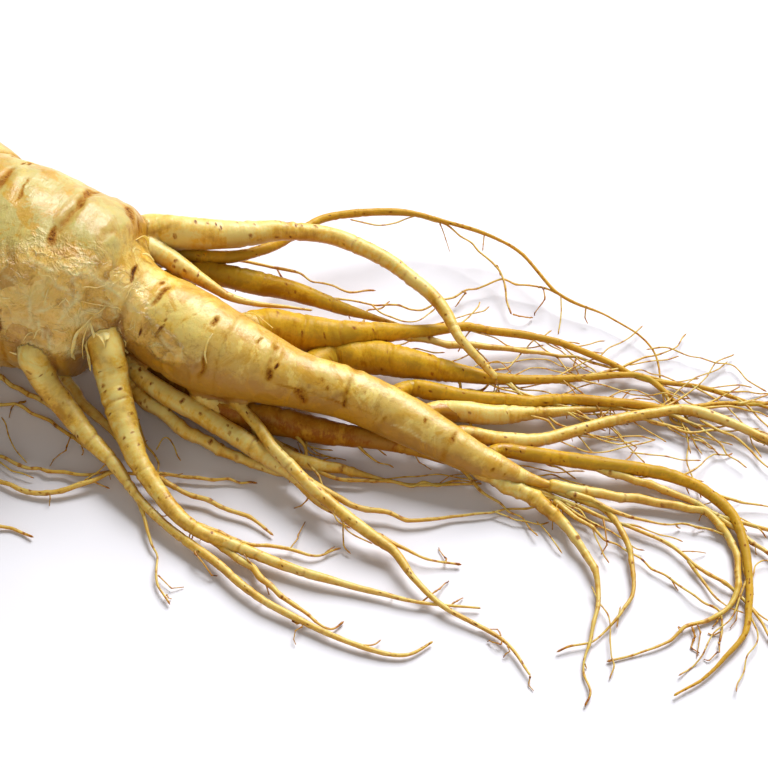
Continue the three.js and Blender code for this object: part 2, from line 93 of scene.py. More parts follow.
SIDE_ROOTS = {
    "hidden_lower": [
        (-20, -1, 9, 3.6), (-23, -11, 6.5, 2.9), (-22, -21, 4.5, 2.3), (-17, -30, 3, 1.6),
        (-9, -36, 1.8, 1.1), (-2, -39, 1.3, 0.7),
    ],
    "lower_left": [
        (7.8, -15, 17.5, 2.8), (8.2, -22.5, 16, 2.6), (9.2, -24, 12.5, 2.4), (11, -25.7, 9.5, 2.3),
        (13.7, -28.4, 7.5, 2), (18, -33.7, 5.2, 1.7), (22.5, -39, 4, 1.2), (27, -45, 2.8, 0.8),
        (32, -50, 2.2, 0.8), (39, -55.5, 1.8, 0.8), (46, -62, 1.5, 0.7), (55, -68, 1.2, 0.6),
        (64, -72.5, 1, 0.5), (72, -74.5, 0.8, 0.4), (77, -72, 0.7, 0.3),
    ],
    "lower_middle": [
        (18.5, -15, 16.5, 3.3), (20.5, -21, 14.5, 3.1), (21.3, -23.6, 12, 3.1), (22, -26.4, 10, 2.9),
        (24, -33.2, 7.5, 2.3), (27.5, -40.3, 5.5, 1.8), (31.5, -46, 4, 1.5), (37.5, -51, 3, 1.2),
        (45, -54, 2.2, 1), (56, -59, 1.6, 0.8), (64, -61.5, 1.2, 0.6), (74, -64.5, 1, 0.4),
        (85, -65.5, 0.7, 0.3),
    ],
    "lower_right": [
        (19.5, -11, 10, 1.8), (24, -19, 8, 1.6), (29.5, -24, 7, 1.8), (37, -29, 6, 1.8),
        (44, -33.5, 5, 1.8), (49.5, -37, 4.2, 1.6), (53.5, -40, 3, 0.9), (58, -45, 1.8, 0.5),
        (63.5, -48, 1, 0.3),
    ],
    "long_forward": [
        (35, -20, 10.5, 1.3), (41, -25.5, 8.6, 1), (47, -32, 7.4, 1), (50.5, -37, 6.6, 1.1),
        (55, -42, 5.6, 1.1), (60, -46.5, 4.4, 1.1), (67.5, -53, 2.8, 1), (71, -56, 2.2, 0.8),
        (74, -60, 1.8, 0.6), (79, -65.5, 1.4, 0.5), (88.5, -72, 1, 0.4), (92.5, -78.5, 0.7, 0.3),
    ],
    "under_tap": [
        (35.5, -20, 10.5, 1.9), (38.5, -26.3, 6, 2.4), (46.5, -28.5, 4.9, 2.6), (54.5, -30.2, 4.2, 2.5),
        (63, -31.7, 3.4, 2), (72, -33, 2.6, 1.3), (79, -35, 1.8, 0.7), (86, -37.5, 1.2, 0.4),
    ],
    "far_arch": [
        (19, 0.5, 14.5, 3.6), (26, 5, 17, 3.3), (32, 4.5, 17.4, 3.1), (38, 4.5, 17.2, 2.8),
        (44.5, 5.5, 16.8, 2.3), (51, 6.7, 16.2, 1.8), (60, 6, 15, 1.6), (70, 1.5, 13.2, 1.4),
        (74.5, -2.5, 12.2, 1.3), (78.5, -6.6, 11.2, 1.2), (81.5, -11.5, 10.2, 1),
        (84.5, -15.5, 8.6, 0.8), (89, -20, 5.5, 0.6),
    ],
    "far_sweep": [
        (20, 0, 12.5, 1.8), (31, 3, 12.8, 1.5), (37, 3, 12.6, 1.3), (43.5, 4.5, 12.2, 1.1),
        (51.5, 10, 11.2, 0.9), (59, 16, 10.2, 0.8), (71, 19, 8.6, 0.7), (80, 18, 7.2, 0.5),
        (92.5, 13.5, 5.4, 0.4), (102.5, 2.5, 3.4, 0.4), (111, -2.5, 2.4, 0.3), (118.5, -10, 1.6, 0.3),
        (119.5, -22, 1, 0.3),
    ],
    "crotch_spur": [
        (22, 3.2, 15.5, 2), (25.3, 1.7, 16.8, 2.2), (28.5, 0.3, 16.4, 2), (32.2, -1.9, 15.6, 1.7),
        (37.4, -4.9, 14.4, 1.1), (43, -7.3, 12.9, 0.7), (51, -7.5, 10.5, 0.4), (56, -7, 9, 0.3),
    ],
    "far_spur": [
        (25, -5, 12.5, 2.2), (35, 0.5, 11, 2.2), (40, 0, 10.6, 2.2), (45.5, -1, 10, 2.2),
        (51.5, -2, 9.2, 1.9), (57.5, -3.5, 8.2, 1.5), (62, -4.5, 7, 1.1), (66.5, -5.5, 6, 0.7),
        (72, -6.5, 4.8, 0.4),
    ],
    "far_thick": [
        (41, -18, 12, 3.4), (46.5, -12.8, 10.5, 3.6), (52, -12.3, 9.6, 3.7), (57.5, -12.5, 9, 3.1),
        (63, -12, 8.4, 2.4), (69, -10.5, 7.5, 1.8), (75.5, -9.5, 6.5, 1.3), (83, -8, 5.4, 0.9),
        (90, -7.5, 4.2, 0.8), (98.5, -8.5, 3, 0.7), (110, -13, 2, 0.6), (117, -17, 1.6, 0.5),
        (126, -18, 1.2, 0.5), (134.5, -21.5, 1, 0.4), (141, -24, 0.8, 0.3),
    ],
    "far_low": [
        (54, -22.5, 8.5, 2.3), (59.5, -15.5, 6.3, 2.9), (65, -15.5, 6, 3.2), (72, -16, 5.4, 2.9),
        (77.5, -17, 5, 2.3), (83.5, -18, 4.4, 1.6), (90, -18.5, 3.8, 1.1), (98, -18, 3, 0.8),
        (111.5, -16, 2, 0.6), (117, -17, 1.6, 0.6), (122, -22.5, 1, 0.5),
    ],
    "straight_back": [
        (67, -28, 7.5, 1.5), (73, -21.8, 5, 1.5), (78, -22, 4.4, 1.6), (84.5, -23, 4, 1.3),
        (92, -23.5, 3.6, 1.2), (100.5, -23, 3, 1.1), (111, -23, 2.4, 0.9), (119.5, -24, 1.8, 0.7),
        (129, -22.5, 1.3, 0.5), (138, -22, 1, 0.4), (147, -20.5, 0.8, 0.3),
    ],
    "straight_front": [
        (72, -32, 7, 1.8), (78, -27, 4.8, 1.7), (82.5, -27, 4.2, 1.9), (87.5, -27, 3.6, 1.9),
        (95, -25.5, 2.8, 1.3), (102, -24.5, 2.2, 0.8), (109, -24, 1.8, 0.5), (116.5, -24.5, 1.4, 0.3),
    ],
    "wavy_right": [
        (77, -35, 6, 1.5), (82.5, -31.5, 4.5, 1.3), (87, -32, 4, 1.4), (91, -32.5, 3.6, 1.5),
        (96.5, -32, 3.2, 1.2), (102.5, -30, 2.8, 1.1), (109, -27.5, 2.5, 1), (116.5, -25.5, 2.4, 1),
        (123.5, -24.5, 2.2, 1), (130.5, -27.5, 1.8, 0.9), (137, -31, 1.3, 0.7), (144, -34.5, 1, 0.5),
        (148, -39, 0.7, 0.3),
    ],
    "hook_outer": [
        (85.5, -38.5, 4.8, 1.4), (89, -35, 4, 1.2), (94.5, -35.5, 3.6, 1.4), (105, -37, 3, 1.3),
        (115, -38.5, 2.6, 1.2), (120, -40, 2.4, 1.1), (124.5, -42.5, 2.2, 1), (129, -48.5, 1.8, 0.9),
        (130, -59.5, 1.3, 0.7), (128.5, -69, 1, 0.6), (123, -76.5, 0.8, 0.4), (115.5, -82.5, 0.7, 0.3),
    ],
}
ROOTLETS = {
    "left_long": [
        (-6, -37, 1.6, 0.8), (2, -39, 1.1, 0.5), (7, -42, 1, 0.5), (12, -42, 1.3, 0.5),
        (17, -40.5, 1.8, 0.5), (22.5, -38.5, 2, 0.4), (29, -38.5, 1.6, 0.4), (36, -39, 1.2, 0.4),
        (47, -40, 0.8, 0.3),
    ],
    "left_back": [
        (-12, -34, 2.2, 0.8), (-4, -33, 1.2, 0.5), (1.5, -34, 1, 0.4), (6, -36, 1, 0.4),
        (15, -38.5, 1.3, 0.4), (21.5, -38, 2, 0.3),
    ],
    "left_thin": [
        (-21, -21, 4, 0.6), (-8, -20.5, 1.8, 0.4), (0, -22, 1, 0.4), (5, -23, 1, 0.4),
        (12, -28.5, 1.4, 0.4), (18, -34, 2.8, 0.4),
    ],
    "left_front": [
        (-14, -33, 2.4, 0.7), (-8, -43, 1, 0.5), (-1, -47, 0.8, 0.4), (4, -49, 0.7, 0.4),
        (9.5, -51, 0.6, 0.3),
    ],
    "under_left": [
        (-16, -3, 7, 0.8), (-8, -11, 3.5, 0.6), (-1, -16, 1.8, 0.5), (5.5, -21, 1.4, 0.5),
        (12, -24.5, 3, 0.4), (15, -27, 4.6, 0.4),
    ],
    "behind_lower_left": [
        (9, -13, 10, 1.3), (12, -20, 6, 1.1), (15.5, -24, 4, 1), (20, -29, 2.6, 0.7),
        (25, -34, 1.2, 0.4),
    ],
    "behind_lower_right": [
        (21, -14, 10, 1.5), (24, -21, 6, 1.3), (29, -26, 4, 1.3), (35, -30.5, 3, 1.2),
        (43, -35, 2.2, 0.9), (53, -38.5, 1.4, 0.5),
    ],
    "beside_lower_middle": [
        (22, -22, 7.5, 0.6), (25.5, -27, 3.2, 0.4), (28.5, -33, 1.6, 0.3), (30, -39, 1.2, 0.3),
    ],
    "lower_forward": [
        (28, -39, 4.6, 0.7), (33, -42, 2.2, 0.5), (39, -44, 1.5, 0.5), (47, -48.5, 1, 0.4),
        (50, -51, 0.8, 0.3),
    ],
    "lower_drop": [
        (26, -43, 3.2, 0.5), (29, -49, 1.5, 0.4), (30.5, -54, 1, 0.3), (31.5, -60, 0.8, 0.3),
        (34, -64.5, 0.6, 0.3),
    ],
    "middle_near": [
        (36.5, -50.5, 2.8, 0.9), (42, -54, 1.8, 0.7), (47.5, -59, 1.3, 0.6), (56, -66.5, 1, 0.4),
        (60, -69.5, 0.8, 0.3), (62.5, -68, 0.7, 0.3),
    ],
    "middle_far": [
        (36.5, -50, 3, 0.7), (45, -53, 1.9, 0.4), (53, -54, 1.2, 0.4), (58, -55, 0.9, 0.3),
        (61.5, -53, 0.7, 0.3),
    ],
    "forward_back": [
        (54.5, -41.5, 5.4, 0.8), (61.5, -45, 3.2, 0.6), (67.5, -46.5, 2, 0.5), (77, -48, 1.3, 0.4),
        (87.5, -46, 1, 0.3), (97, -45, 0.7, 0.3),
    ],
    "forward_side": [
        (65.5, -51.5, 3, 0.7), (72.5, -54, 1.7, 0.4), (76.5, -56, 1.1, 0.3), (82, -57, 0.7, 0.3),
    ],
    "under_front": [
        (46, -30, 4, 1.2), (51, -34.5, 3, 1.2), (56, -36.5, 2.6, 1.2), (62, -37.5, 2, 0.9),
        (69, -39.5, 1.3, 0.4), (77, -40.5, 1, 0.4), (86, -39.5, 0.7, 0.3),
    ],
    "arch_thread": [
        (30, 2.5, 12, 0.6), (42, 7, 7.5, 0.4), (50.5, 6.5, 5.5, 0.4), (55, 5.5, 4.5, 0.3),
        (61.5, 2.5, 3.4, 0.3), (67.5, 3.5, 2.6, 0.3),
    ],
    "sweep_twig": [
        (75, 19, 8, 0.5), (82, 16.5, 6.4, 0.3), (88.5, 11, 4.4, 0.3), (91.5, 6, 3, 0.3),
        (93, -1, 1.6, 0.3),
    ],
    "spur_thread": [
        (56.5, -3, 8, 0.5), (61.5, 0.5, 4.2, 0.3), (69, 0, 3, 0.3), (77, 0, 2.2, 0.3), (85, 5, 2.2, 0.3),
        (93, 6, 2.8, 0.3), (102.5, 2.5, 3.3, 0.3),
    ],
    "thick_thread": [
        (70, -10.5, 7, 0.7), (81, -11, 4.4, 0.7), (90, -10.5, 3.2, 0.6), (101, -11.5, 2.2, 0.4),
        (112.5, -15, 1.6, 0.3),
    ],
    "hook_twig": [
        (103, -36.5, 3, 0.8), (113, -40.5, 2, 0.7), (121.5, -44, 1.6, 0.6), (127, -48, 1.4, 0.5),
        (134.5, -50, 1, 0.4), (142, -50.5, 0.7, 0.3),
    ],
    "hook_side": [
        (122.5, -44.5, 1.6, 0.5), (129, -50, 1.2, 0.5), (134, -54.5, 0.9, 0.4), (139, -60, 0.7, 0.3),
    ],
    "tip_hook": [
        (97, -42, 3.4, 1.2), (106, -43.5, 2.3, 0.9), (113, -44, 1.7, 0.8), (121.5, -45.5, 1.4, 0.7),
        (127, -50, 1.2, 0.7), (128.5, -57, 1, 0.6), (126, -65, 0.9, 0.5), (119, -69.5, 0.8, 0.4),
        (112, -73.5, 0.7, 0.3), (105, -75.5, 0.6, 0.3),
    ],
    "tip_front": [
        (84, -38.5, 5, 1.8), (92, -43, 3.2, 1.4), (96.5, -46, 2.4, 1.2), (100, -49.5, 1.9, 0.9),
        (103, -56, 1.5, 0.7), (104.5, -62.5, 1.2, 0.5), (103, -71, 1, 0.4), (101.5, -76, 0.8, 0.3),
        (102, -81, 0.7, 0.3), (101, -84, 0.6, 0.3),
    ],
    "tip_middle": [
        (92, -41, 3.8, 0.9), (101, -43.5, 2.4, 0.7), (108, -47.5, 1.7, 0.6), (110.5, -56.5, 1.2, 0.5),
        (109.5, -64, 1, 0.4), (104.5, -70.5, 0.8, 0.3), (97, -74, 0.6, 0.3),
    ],
    "tip_long": [
        (90, -40.5, 4, 0.8), (99, -44.5, 2.2, 0.5), (109, -49, 1.5, 0.4), (116.5, -52.5, 1.2, 0.4),
        (121, -57, 1, 0.4), (127.5, -62.5, 0.9, 0.4), (132, -71, 0.7, 0.3), (135, -78, 0.6, 0.3),
    ],
    "tip_thin": [
        (98, -44.5, 2.2, 0.6), (107, -52.5, 1.4, 0.3), (113.5, -56.5, 1.1, 0.3), (121, -64.5, 0.9, 0.3),
        (124.5, -67, 0.8, 0.3), (123.5, -72, 0.6, 0.3),
    ],
    "tip_back": [
        (100, -43, 2.8, 0.7), (115, -49, 1.6, 0.3), (121, -49, 1.2, 0.3), (127.5, -51, 1, 0.3),
    ],
}
# Fine twigs that stand out against the table, as (x, y, z, radius) in mm from their root to their tip.
TWIGS = [
    [(102, 2, 3.6, 0.27), (102, -0.5, 3, 0.2), (102, -5.5, 2, 0.17), (101.5, -6.5, 1.6, 0.12)],
    [(62.5, 16, 9.5, 0.27), (68, 15.5, 8.4, 0.27), (72, 18, 8, 0.27), (76, 19.5, 7.6, 0.2)],
    [(117, -10, 2, 0.27), (121, -9.5, 2, 0.27), (125, -12, 1.8, 0.25), (129.5, -13, 1.5, 0.25),
     (133, -14, 1.2, 0.22), (138.5, -19, 1, 0.17)],
    [(113.5, -14, 2.2, 0.27), (118.5, -12.5, 2, 0.2), (123, -11.5, 1.8, 0.15)],
    [(66.5, -0.5, 4, 0.27), (68.5, -2.5, 3.6, 0.27), (71, -3.5, 3.4, 0.27), (74.5, -3.5, 3.2, 0.25),
     (77, -1.5, 3, 0.2), (79, 0, 3, 0.15)],
    [(82, -8.5, 5, 0.27), (86.5, -11, 3, 0.2), (88.5, -13, 2, 0.15)],
    [(29, -33.5, 2, 0.17), (30.5, -31, 2.4, 0.17), (32.5, -33, 2, 0.17), (33.5, -35.5, 1.4, 0.15)],
    [(6.5, -35.5, 1, 0.22), (4, -32.5, 1.4, 0.22), (2.5, -29.5, 2, 0.22), (1, -26.5, 2.6, 0.2)],
    [(0, -34, 1, 0.2), (6, -38, 0.8, 0.17), (8, -39, 0.7, 0.15)],
    [(17, -40, 1.8, 0.17), (19.5, -38.5, 2.6, 0.25), (21, -37, 3.4, 0.25)],
    [(17.5, -39.5, 1.8, 0.17), (20, -40.5, 1.2, 0.17), (21.5, -41, 0.8, 0.12)],
    [(63.5, -72.5, 1, 0.17), (67, -72.5, 0.9, 0.15), (68.5, -71.5, 0.8, 0.12)],
    [(60.5, -47, 3.4, 0.27), (62, -49, 2.2, 0.25), (63, -50.5, 1.6, 0.25), (67, -53, 1, 0.15)],
    [(62, -49, 2.2, 0.25), (62, -53, 1.2, 0.17), (63.5, -54.5, 0.8, 0.15)],
    [(87.5, -46, 1.2, 0.25), (90, -47, 1.1, 0.25), (92, -48, 1, 0.25), (95, -48, 1, 0.2),
     (97, -47.5, 0.8, 0.15)],
    [(95, -48, 1, 0.17), (96.5, -50, 0.8, 0.17), (99, -54.5, 0.7, 0.15)],
    [(56, -37.5, 2.4, 0.4), (62, -39.5, 1.6, 0.42), (70, -40, 1.4, 0.4), (77, -40.5, 1.2, 0.35),
     (81.5, -39.5, 1, 0.3), (86, -39.5, 0.8, 0.2)],
    [(69, -39.5, 1.6, 0.25), (75.5, -38.5, 1.2, 0.25), (85.5, -39, 0.8, 0.15)],
    [(121.5, -26, 2, 0.27), (122.5, -30.5, 1.4, 0.25), (123, -33.5, 1, 0.17)],
    [(122.5, -30, 1.4, 0.17), (124.5, -30, 1.2, 0.17), (126.5, -32, 1, 0.17), (127.5, -34, 0.8, 0.15)],
    [(125.5, -24, 2, 0.35), (132.5, -23.5, 1.6, 0.3), (140, -26.5, 1.2, 0.22), (145, -28.5, 1, 0.15)],
    [(125, -26.5, 2, 0.35), (128.5, -29, 1.8, 0.35), (131, -30, 1.6, 0.32), (133.5, -32.5, 1.4, 0.3),
     (136, -36, 1, 0.25), (141, -39.5, 0.8, 0.17)],
    [(138, -58, 0.9, 0.25), (133.5, -56, 1.2, 0.25), (131.5, -57, 1.1, 0.25), (131, -59, 1, 0.22),
     (130, -61, 0.8, 0.15)],
    [(112, -34.5, 2.8, 0.25), (118.5, -35, 2, 0.2), (124.5, -35.5, 1.4, 0.15)],
    [(103.5, -61.5, 1.3, 0.25), (105.5, -67.5, 1.1, 0.25), (106, -71, 1, 0.25), (106, -74.5, 0.9, 0.2),
     (105.5, -79, 0.7, 0.15)],
    [(108, -65.5, 1.2, 0.17), (107, -69.5, 0.8, 0.12)],
    [(97, -43, 2.4, 0.35), (99, -45.5, 2, 0.35), (103.5, -48.5, 1.6, 0.27), (105.5, -53, 1.3, 0.25),
     (106.5, -57, 1, 0.15)],
    [(98, -31, 3, 0.27), (103.5, -34, 2.6, 0.25), (107, -34, 2.2, 0.25), (112, -32.5, 2, 0.2),
     (117, -31, 1.8, 0.15)],
    [(102.5, -29.5, 3, 0.25), (108.5, -31.5, 2.4, 0.25), (114, -32, 2, 0.15)],
    [(107.5, -23, 2.6, 0.27), (112.5, -20, 2.2, 0.25), (117, -20, 2, 0.2), (124, -21, 1.6, 0.15)],
]

# The side roots whose skin is golden rather than straw-coloured, and the one that is brown: its own brown,
# made darker as painted shade where it lies under the tap root.
GOLDEN_ROOTS = ["far_sweep", "far_spur", "far_thick", "far_low", "straight_back", "hook_outer"]
SHADED_BROWN_ROOTS = ["under_tap"]
# Thin brown roots in the shade under the tap root, their brown partly painted shade, as (x, y, z, radius)
# in mm.
SHADED_ROOTS = [
    [(20, -12, 6, 2), (26, -16, 5, 2), (32, -19.5, 4, 2), (40, -23, 3.5, 1.8), (50, -26, 3, 1.2),
     (60, -28, 2, 0.6)],
    [(24, -15, 4, 1.4), (31, -21.5, 2.4, 1.6), (37, -25, 2, 1.4), (45, -29, 1.6, 0.9), (54, -33, 1, 0.4)],
]
# What marks the body's skin: (place along it, turn from the top towards the near side in degrees,
# half length along it, half length round it, depth, darkness from 0 to 1), in mm.
BODY_MARKS = [
    (9, 0, 0.7, 30, 0.5, 0.4), (14, 20, 0.6, 26, 0.4, 0.45), (20, -60, 0.7, 30, 0.45, 0.5),
    (27, 70, 0.7, 34, 0.4, 0.4), (34, -30, 0.7, 24, 0.4, 0.5), (42, 40, 0.6, 22, 0.35, 0.4),
    (45, -80, 0.7, 18, 0.3, 0.5), (47.5, -50, 0.6, 2, 0.15, 0.85),
    (53.5, -12, 1, 4.4, 0.4, 0.65), (53.5, -36, 0.6, 1.6, 0.1, 0.95), (55.5, -38, 0.5, 1.8, 0.12, 0.9),
    (60, 33, 0.4, 1.3, 0.1, 0.4), (61.5, 120, 0.7, 14, 0.3, 0.5),
    (67.5, -12, 0.7, 8.5, 0.4, 0.5), (67.5, -17, 0.9, 1.7, 0.15, 1), (66.5, 15, 0.8, 2, 0.2, 0.95),
    (67, -32, 0.8, 2.6, 0.12, 0.75), (67.5, -42, 0.6, 1.5, 0.1, 0.9), (66.5, -100, 0.7, 10, 0.4, 0.5),
    (73, -38, 0.6, 2, 0.15, 0.9), (74.5, -46, 0.5, 1.6, 0.15, 1), (73.5, -4, 0.4, 2.2, 0.12, 0.28),
    (85, 5, 0.5, 2.6, 0.28, 0.85), (83.5, -12, 0.4, 0.6, 0.05, 1), (95.5, 1, 0.5, 1.2, 0.2, 0.95),
    (96.5, 62, 0.35, 3, 0.3, 0.8), (107, 18, 0.35, 4.5, 0.3, 0.35), (107.5, 44, 0.5, 1.2, 0.12, 0.9),
    (107, -10, 0.4, 0.6, 0.05, 0.9), (113.5, 70, 0.6, 1.7, 0.15, 0.9), (113, 60, 0.4, 0.4, 0.1, 1),
    (121, 5, 0.6, 5, 0.3, 0.5), (120.5, -48, 0.5, 0.8, 0.1, 0.9), (121.5, 58, 0.5, 1, 0.1, 0.9),
    (127, 34, 0.8, 1.5, 0.15, 0.6), (129, 57, 0.5, 1, 0.1, 0.8), (141, 50, 0.6, 3.8, 0.2, 0.75),
    (90, 170, 0.6, 9, 0.3, 0.5), (102, 200, 0.5, 7, 0.25, 0.6), (112, 56, 4, 0.3, -0.08, 0.5),
    (119, 61, 4, 0.25, -0.08, 0.55), (125.5, 57, 3, 0.25, -0.08, 0.5), (117, 40, 0.3, 0.5, 0.08, 0.8),
    (115.5, 25, 0.25, 0.4, 0.05, 0.8), (124, 20, 0.3, 0.5, 0.08, 0.8), (132, 30, 0.3, 0.7, 0.08, 0.8),
    (135.5, 12, 0.3, 0.5, 0.06, 0.9), (137, 44, 0.3, 0.6, 0.08, 0.8), (88, 30, 0.3, 0.5, 0.05, 0.7),
]
# Where the thin skin is bruised and comes off in films: (along the body, turn, reach along, reach round).
TORN_PATCHES = [(64, 58, 8, 9), (73, 55, 8, 10), (82, 54, 4, 4), (90.5, 60, 4, 3)]
# Each patch's share of the loose folds and shreds.
PATCH_SHARES = (0.24, 0.46, 0.22, 0.08)
# Folds of loose film on the body, each a list of (place along the body, turn) and its half width in mm.
FOLDS = [
    (0.24, [(62.5, 28), (63.5, 32), (65.5, 34), (68.5, 36)]), (0.21, [(60.5, 46), (63, 48)]),
    (0.3, [(73.5, 31), (76.5, 32), (78.5, 36)]), (0.21, [(82.5, 21), (85, 24), (87.5, 26)]),
    (0.33, [(73, 23), (74, 29), (75.5, 28), (77.5, 24)]),
    (0.24, [(73.5, 28), (72.5, 34), (72.5, 38), (73.5, 40)]),
    (0.3, [(72.5, 46), (73.5, 46), (73, 54), (72.5, 60)]), (0.24, [(75, 44), (77, 46), (78.5, 50)]),
    (0.24, [(69.5, 29), (70.5, 32), (72, 34), (73.5, 32)]),
    (0.45, [(76, 59), (75, 54), (74, 62), (75, 72)]),
    (0.45, [(73, 66), (74, 62), (75, 68), (75.5, 78)]), (0.22, [(72, 66), (72.5, 59), (72, 50)]),
    (0.22, [(77, 6), (80, 8), (84, 16)]), (0.18, [(67.5, 48), (69, 54), (69, 59)]),
    (0.52, [(75.5, 72), (76, 84), (76.5, 100)]), (0.45, [(73.5, 84), (74, 92), (74.5, 100), (76, 104)]),
    (0.18, [(96, 42), (96.5, 50), (96, 58)]), (0.15, [(130.5, 60), (134, 52), (137.5, 60)]),
]

# Distance between the points of the body's line and of the shorter lines, and the sides of their tubes.
BODY_STEP, BASE_STEP = 0.8, 0.6
BODY_SIDES, BASE_SIDES = 96, 32
# How far the body's skin follows a side root, and the stretch in which the tap root's tip thins out, in mm.
BASE_REACH = 9
TIP_REACH = 12
# A point nearer to the body's round surface than this belongs to the body, in mm.
OWN_MARGIN = 0.6
# How far apart the patterns of two roots lie, in mm, so that no root repeats another's.
PATTERN_SHIFT = 250.0
# The first numbers of the random draws for each kind of piece.
BODY_SEED, SIDE_ROOT_SEED, ROOTLET_SEED = 4, 100, 300
STRAND_SEED, TWIG_SEED, SHRED_SEED = 5, 11, 23

Line = namedtuple("Line", "along centre tangent up side radius")


def linear(red, green, blue):
    """A screen colour of 0 to 255 as the linear colour that the shaders use."""
    value = np.array([red, green, blue]) / 255
    bright = ((value + 0.055) / 1.055) ** 2.4
    return tuple(float(v) for v in np.where(value <= 0.04045, value / 12.92, bright))


def unit(vectors):
    """Vectors divided by their own length."""
    return vectors / np.linalg.norm(vectors, axis=-1, keepdims=True)


def ease(value):
    """Runs smoothly from 0 at 0 to 1 at 1, and stays there: 3 v squared - 2 v cubed."""
    value = np.clip(value, 0, 1)
    return value * value * (3 - 2 * value)


def noise(points, seed):
    """A random value from 0 to 1 at each whole-number point, eased from one to the next in x, y and z."""
    cell = np.floor(points).astype(np.int64)
    part = ease(points - cell)
    total = np.zeros(points.shape[:-1])
    for corner in np.ndindex(2, 2, 2):
        key = (cell + corner) @ np.array([73856093, 19349663, 83492791]) + seed * 1013904223 & 0x7FFFFFFF
        key = (key ^ key >> 15) * 0x2C1B3C6D & 0x7FFFFFFF
        key = (key ^ key >> 12) * 0x297A2D39 & 0x7FFFFFFF
        share = np.where(corner, part, 1 - part).prod(axis=-1)
        total += share * (key ^ key >> 15) / 0x7FFFFFFF
    return total


def ripple(points, size, seed, octaves=3):
    """Noise from about -1 to 1 in waves up to size long: octave k is 2**k times shorter and lower."""
    return sum((2 * noise(points / size * 2**k, seed + 17 * k) - 1) / 2**k for k in range(octaves))


def framed(along, centre, radius):
    """A root's line with its frame at each point: side is level and across it, up is square to both."""
    tangent = unit(np.gradient(centre, axis=0))
    side = unit(np.cross(tangent, (0, 0, 1)))
    return Line(along, centre, tangent, np.cross(side, tangent), side, radius)


def line_of(route, step):
    """The Catmull-Rom curve through a route, taken at even steps of its length, with its radius carried the
    same way. Between points b and c it is half of (2b + (c-a)t + (2a-5b+4c-d)t2 + (3b-a-3c+d)t3)."""
    rows = np.array(route, float)
    padded = np.vstack([2 * rows[0] - rows[1], rows, 2 * rows[-1] - rows[-2]])
    place = np.linspace(0, len(rows) - 1, 40 * len(rows))
    before = np.minimum(place.astype(int), len(rows) - 2)
    t = (place - before)[:, None]
    a, b, c, d = (padded[before + k] for k in range(4))
    bend, twist = 2 * a - 5 * b + 4 * c - d, 3 * b - a - 3 * c + d
    curve = (2 * b + (c - a) * t + bend * t**2 + twist * t**3) / 2
    lengths = np.append(0, np.cumsum(np.linalg.norm(np.diff(curve[:, :3], axis=0), axis=1)))
    along = np.linspace(0, lengths[-1], max(6, round(lengths[-1] / step)) + 1)
    even = np.stack([np.interp(along, lengths, curve[:, k]) for k in range(4)], 1)
    return framed(along, even[:, :3], even[:, 3])


def thinned(line):
    """The same root with its thin end drawn out finer than the solid can be made."""
    return line._replace(radius=np.maximum(np.minimum(line.radius, 1.3 * line.radius - 0.2), 0.13))


def kinked(line, gap, reach, rng):
    """The line bent as a real root is, and the places of the bends: short straight runs, about gap long,
    whose ends stand off the smooth line by about reach, rounded over 1 mm and held clear of the table."""
    step = line.along[1]
    count = int(line.along[-1] / (0.6 * gap)) + 2
    bends = np.append(0, np.cumsum(rng.uniform(0.6, 1.4, count) * gap))
    shifts = rng.normal(0, reach, (2, count + 1)) * ease(bends / 8)
    half = max(1, round(0.7 / step))
    window = np.hanning(2 * half + 3)[1:-1]
    window /= window.sum()
    sways = [np.pad(np.interp(line.along, bends, shift), half, mode="edge") for shift in shifts]
    across, upward = (np.convolve(sway, window, "valid")[:, None] for sway in sways)
    centre = line.centre + across * line.side + 0.6 * upward * line.up
    centre[:, 2] = np.maximum(centre[:, 2], line.radius + 0.05)
    return framed(line.along, centre, line.radius), bends


def along_axis(line, along, *columns):
    """Columns of the line, such as its centre or its up axis, at any places along it."""
    return [
        np.stack([np.interp(along, line.along, values[:, k]) for k in range(3)], -1) for values in columns
    ]


def nearest(points, line):
    """How far each point is from the root's round surface, and its place on the root pulled out straight:
    (along it, up from its centre, towards its side). The nearest sample is moved along the root, half of
    what is left each time, until the point lies square to it."""
    square = (line.centre**2).sum(axis=1) - 2 * points @ line.centre.T
    first = line.along[square.argmin(axis=1)]
    along = first
    for _ in range(8):
        centre, tangent = along_axis(line, along, line.centre, line.tangent)
        along = np.clip(along + 0.5 * ((points - centre) * tangent).sum(axis=1), first - 1, first + 1)
    centre, up, side = along_axis(line, along, line.centre, line.up, line.side)
    offset = points - centre
    straight = np.stack([along, (offset * up).sum(axis=1), (offset * side).sum(axis=1)], 1)
    return np.hypot(straight[:, 1], straight[:, 2]) - np.interp(along, line.along, line.radius), straight


def pressed(straight, radius, marks):
    """How deep in mm, and how dark from 0 to 1, the marks make the skin. A mark is a bell along the root,
    exp(-x squared), with a low lip on both sides, and is flat round the root up to its ends."""
    depth = np.zeros(straight.shape[:-1])
    dark = np.zeros(straight.shape[:-1])
    angle = np.arctan2(straight[..., 2], straight[..., 1])
    wander = straight[..., 0] + 0.7 * ripple(straight, 3.5, 91, 2)
    for place, turn, half_along, half_round, deep, shade in marks:
        off = np.abs((angle - np.radians(turn) + np.pi) % (2 * np.pi) - np.pi) * radius
        across = np.abs(wander - place) / half_along
        window = np.exp(-((off / half_round) ** 4))
        depth += deep * window * (np.exp(-(across**2)) - 0.4 * np.exp(-((across - 2.3) ** 2)))
        dark = np.maximum(dark, shade * window * np.exp(-(across**2)))
    return depth, dark


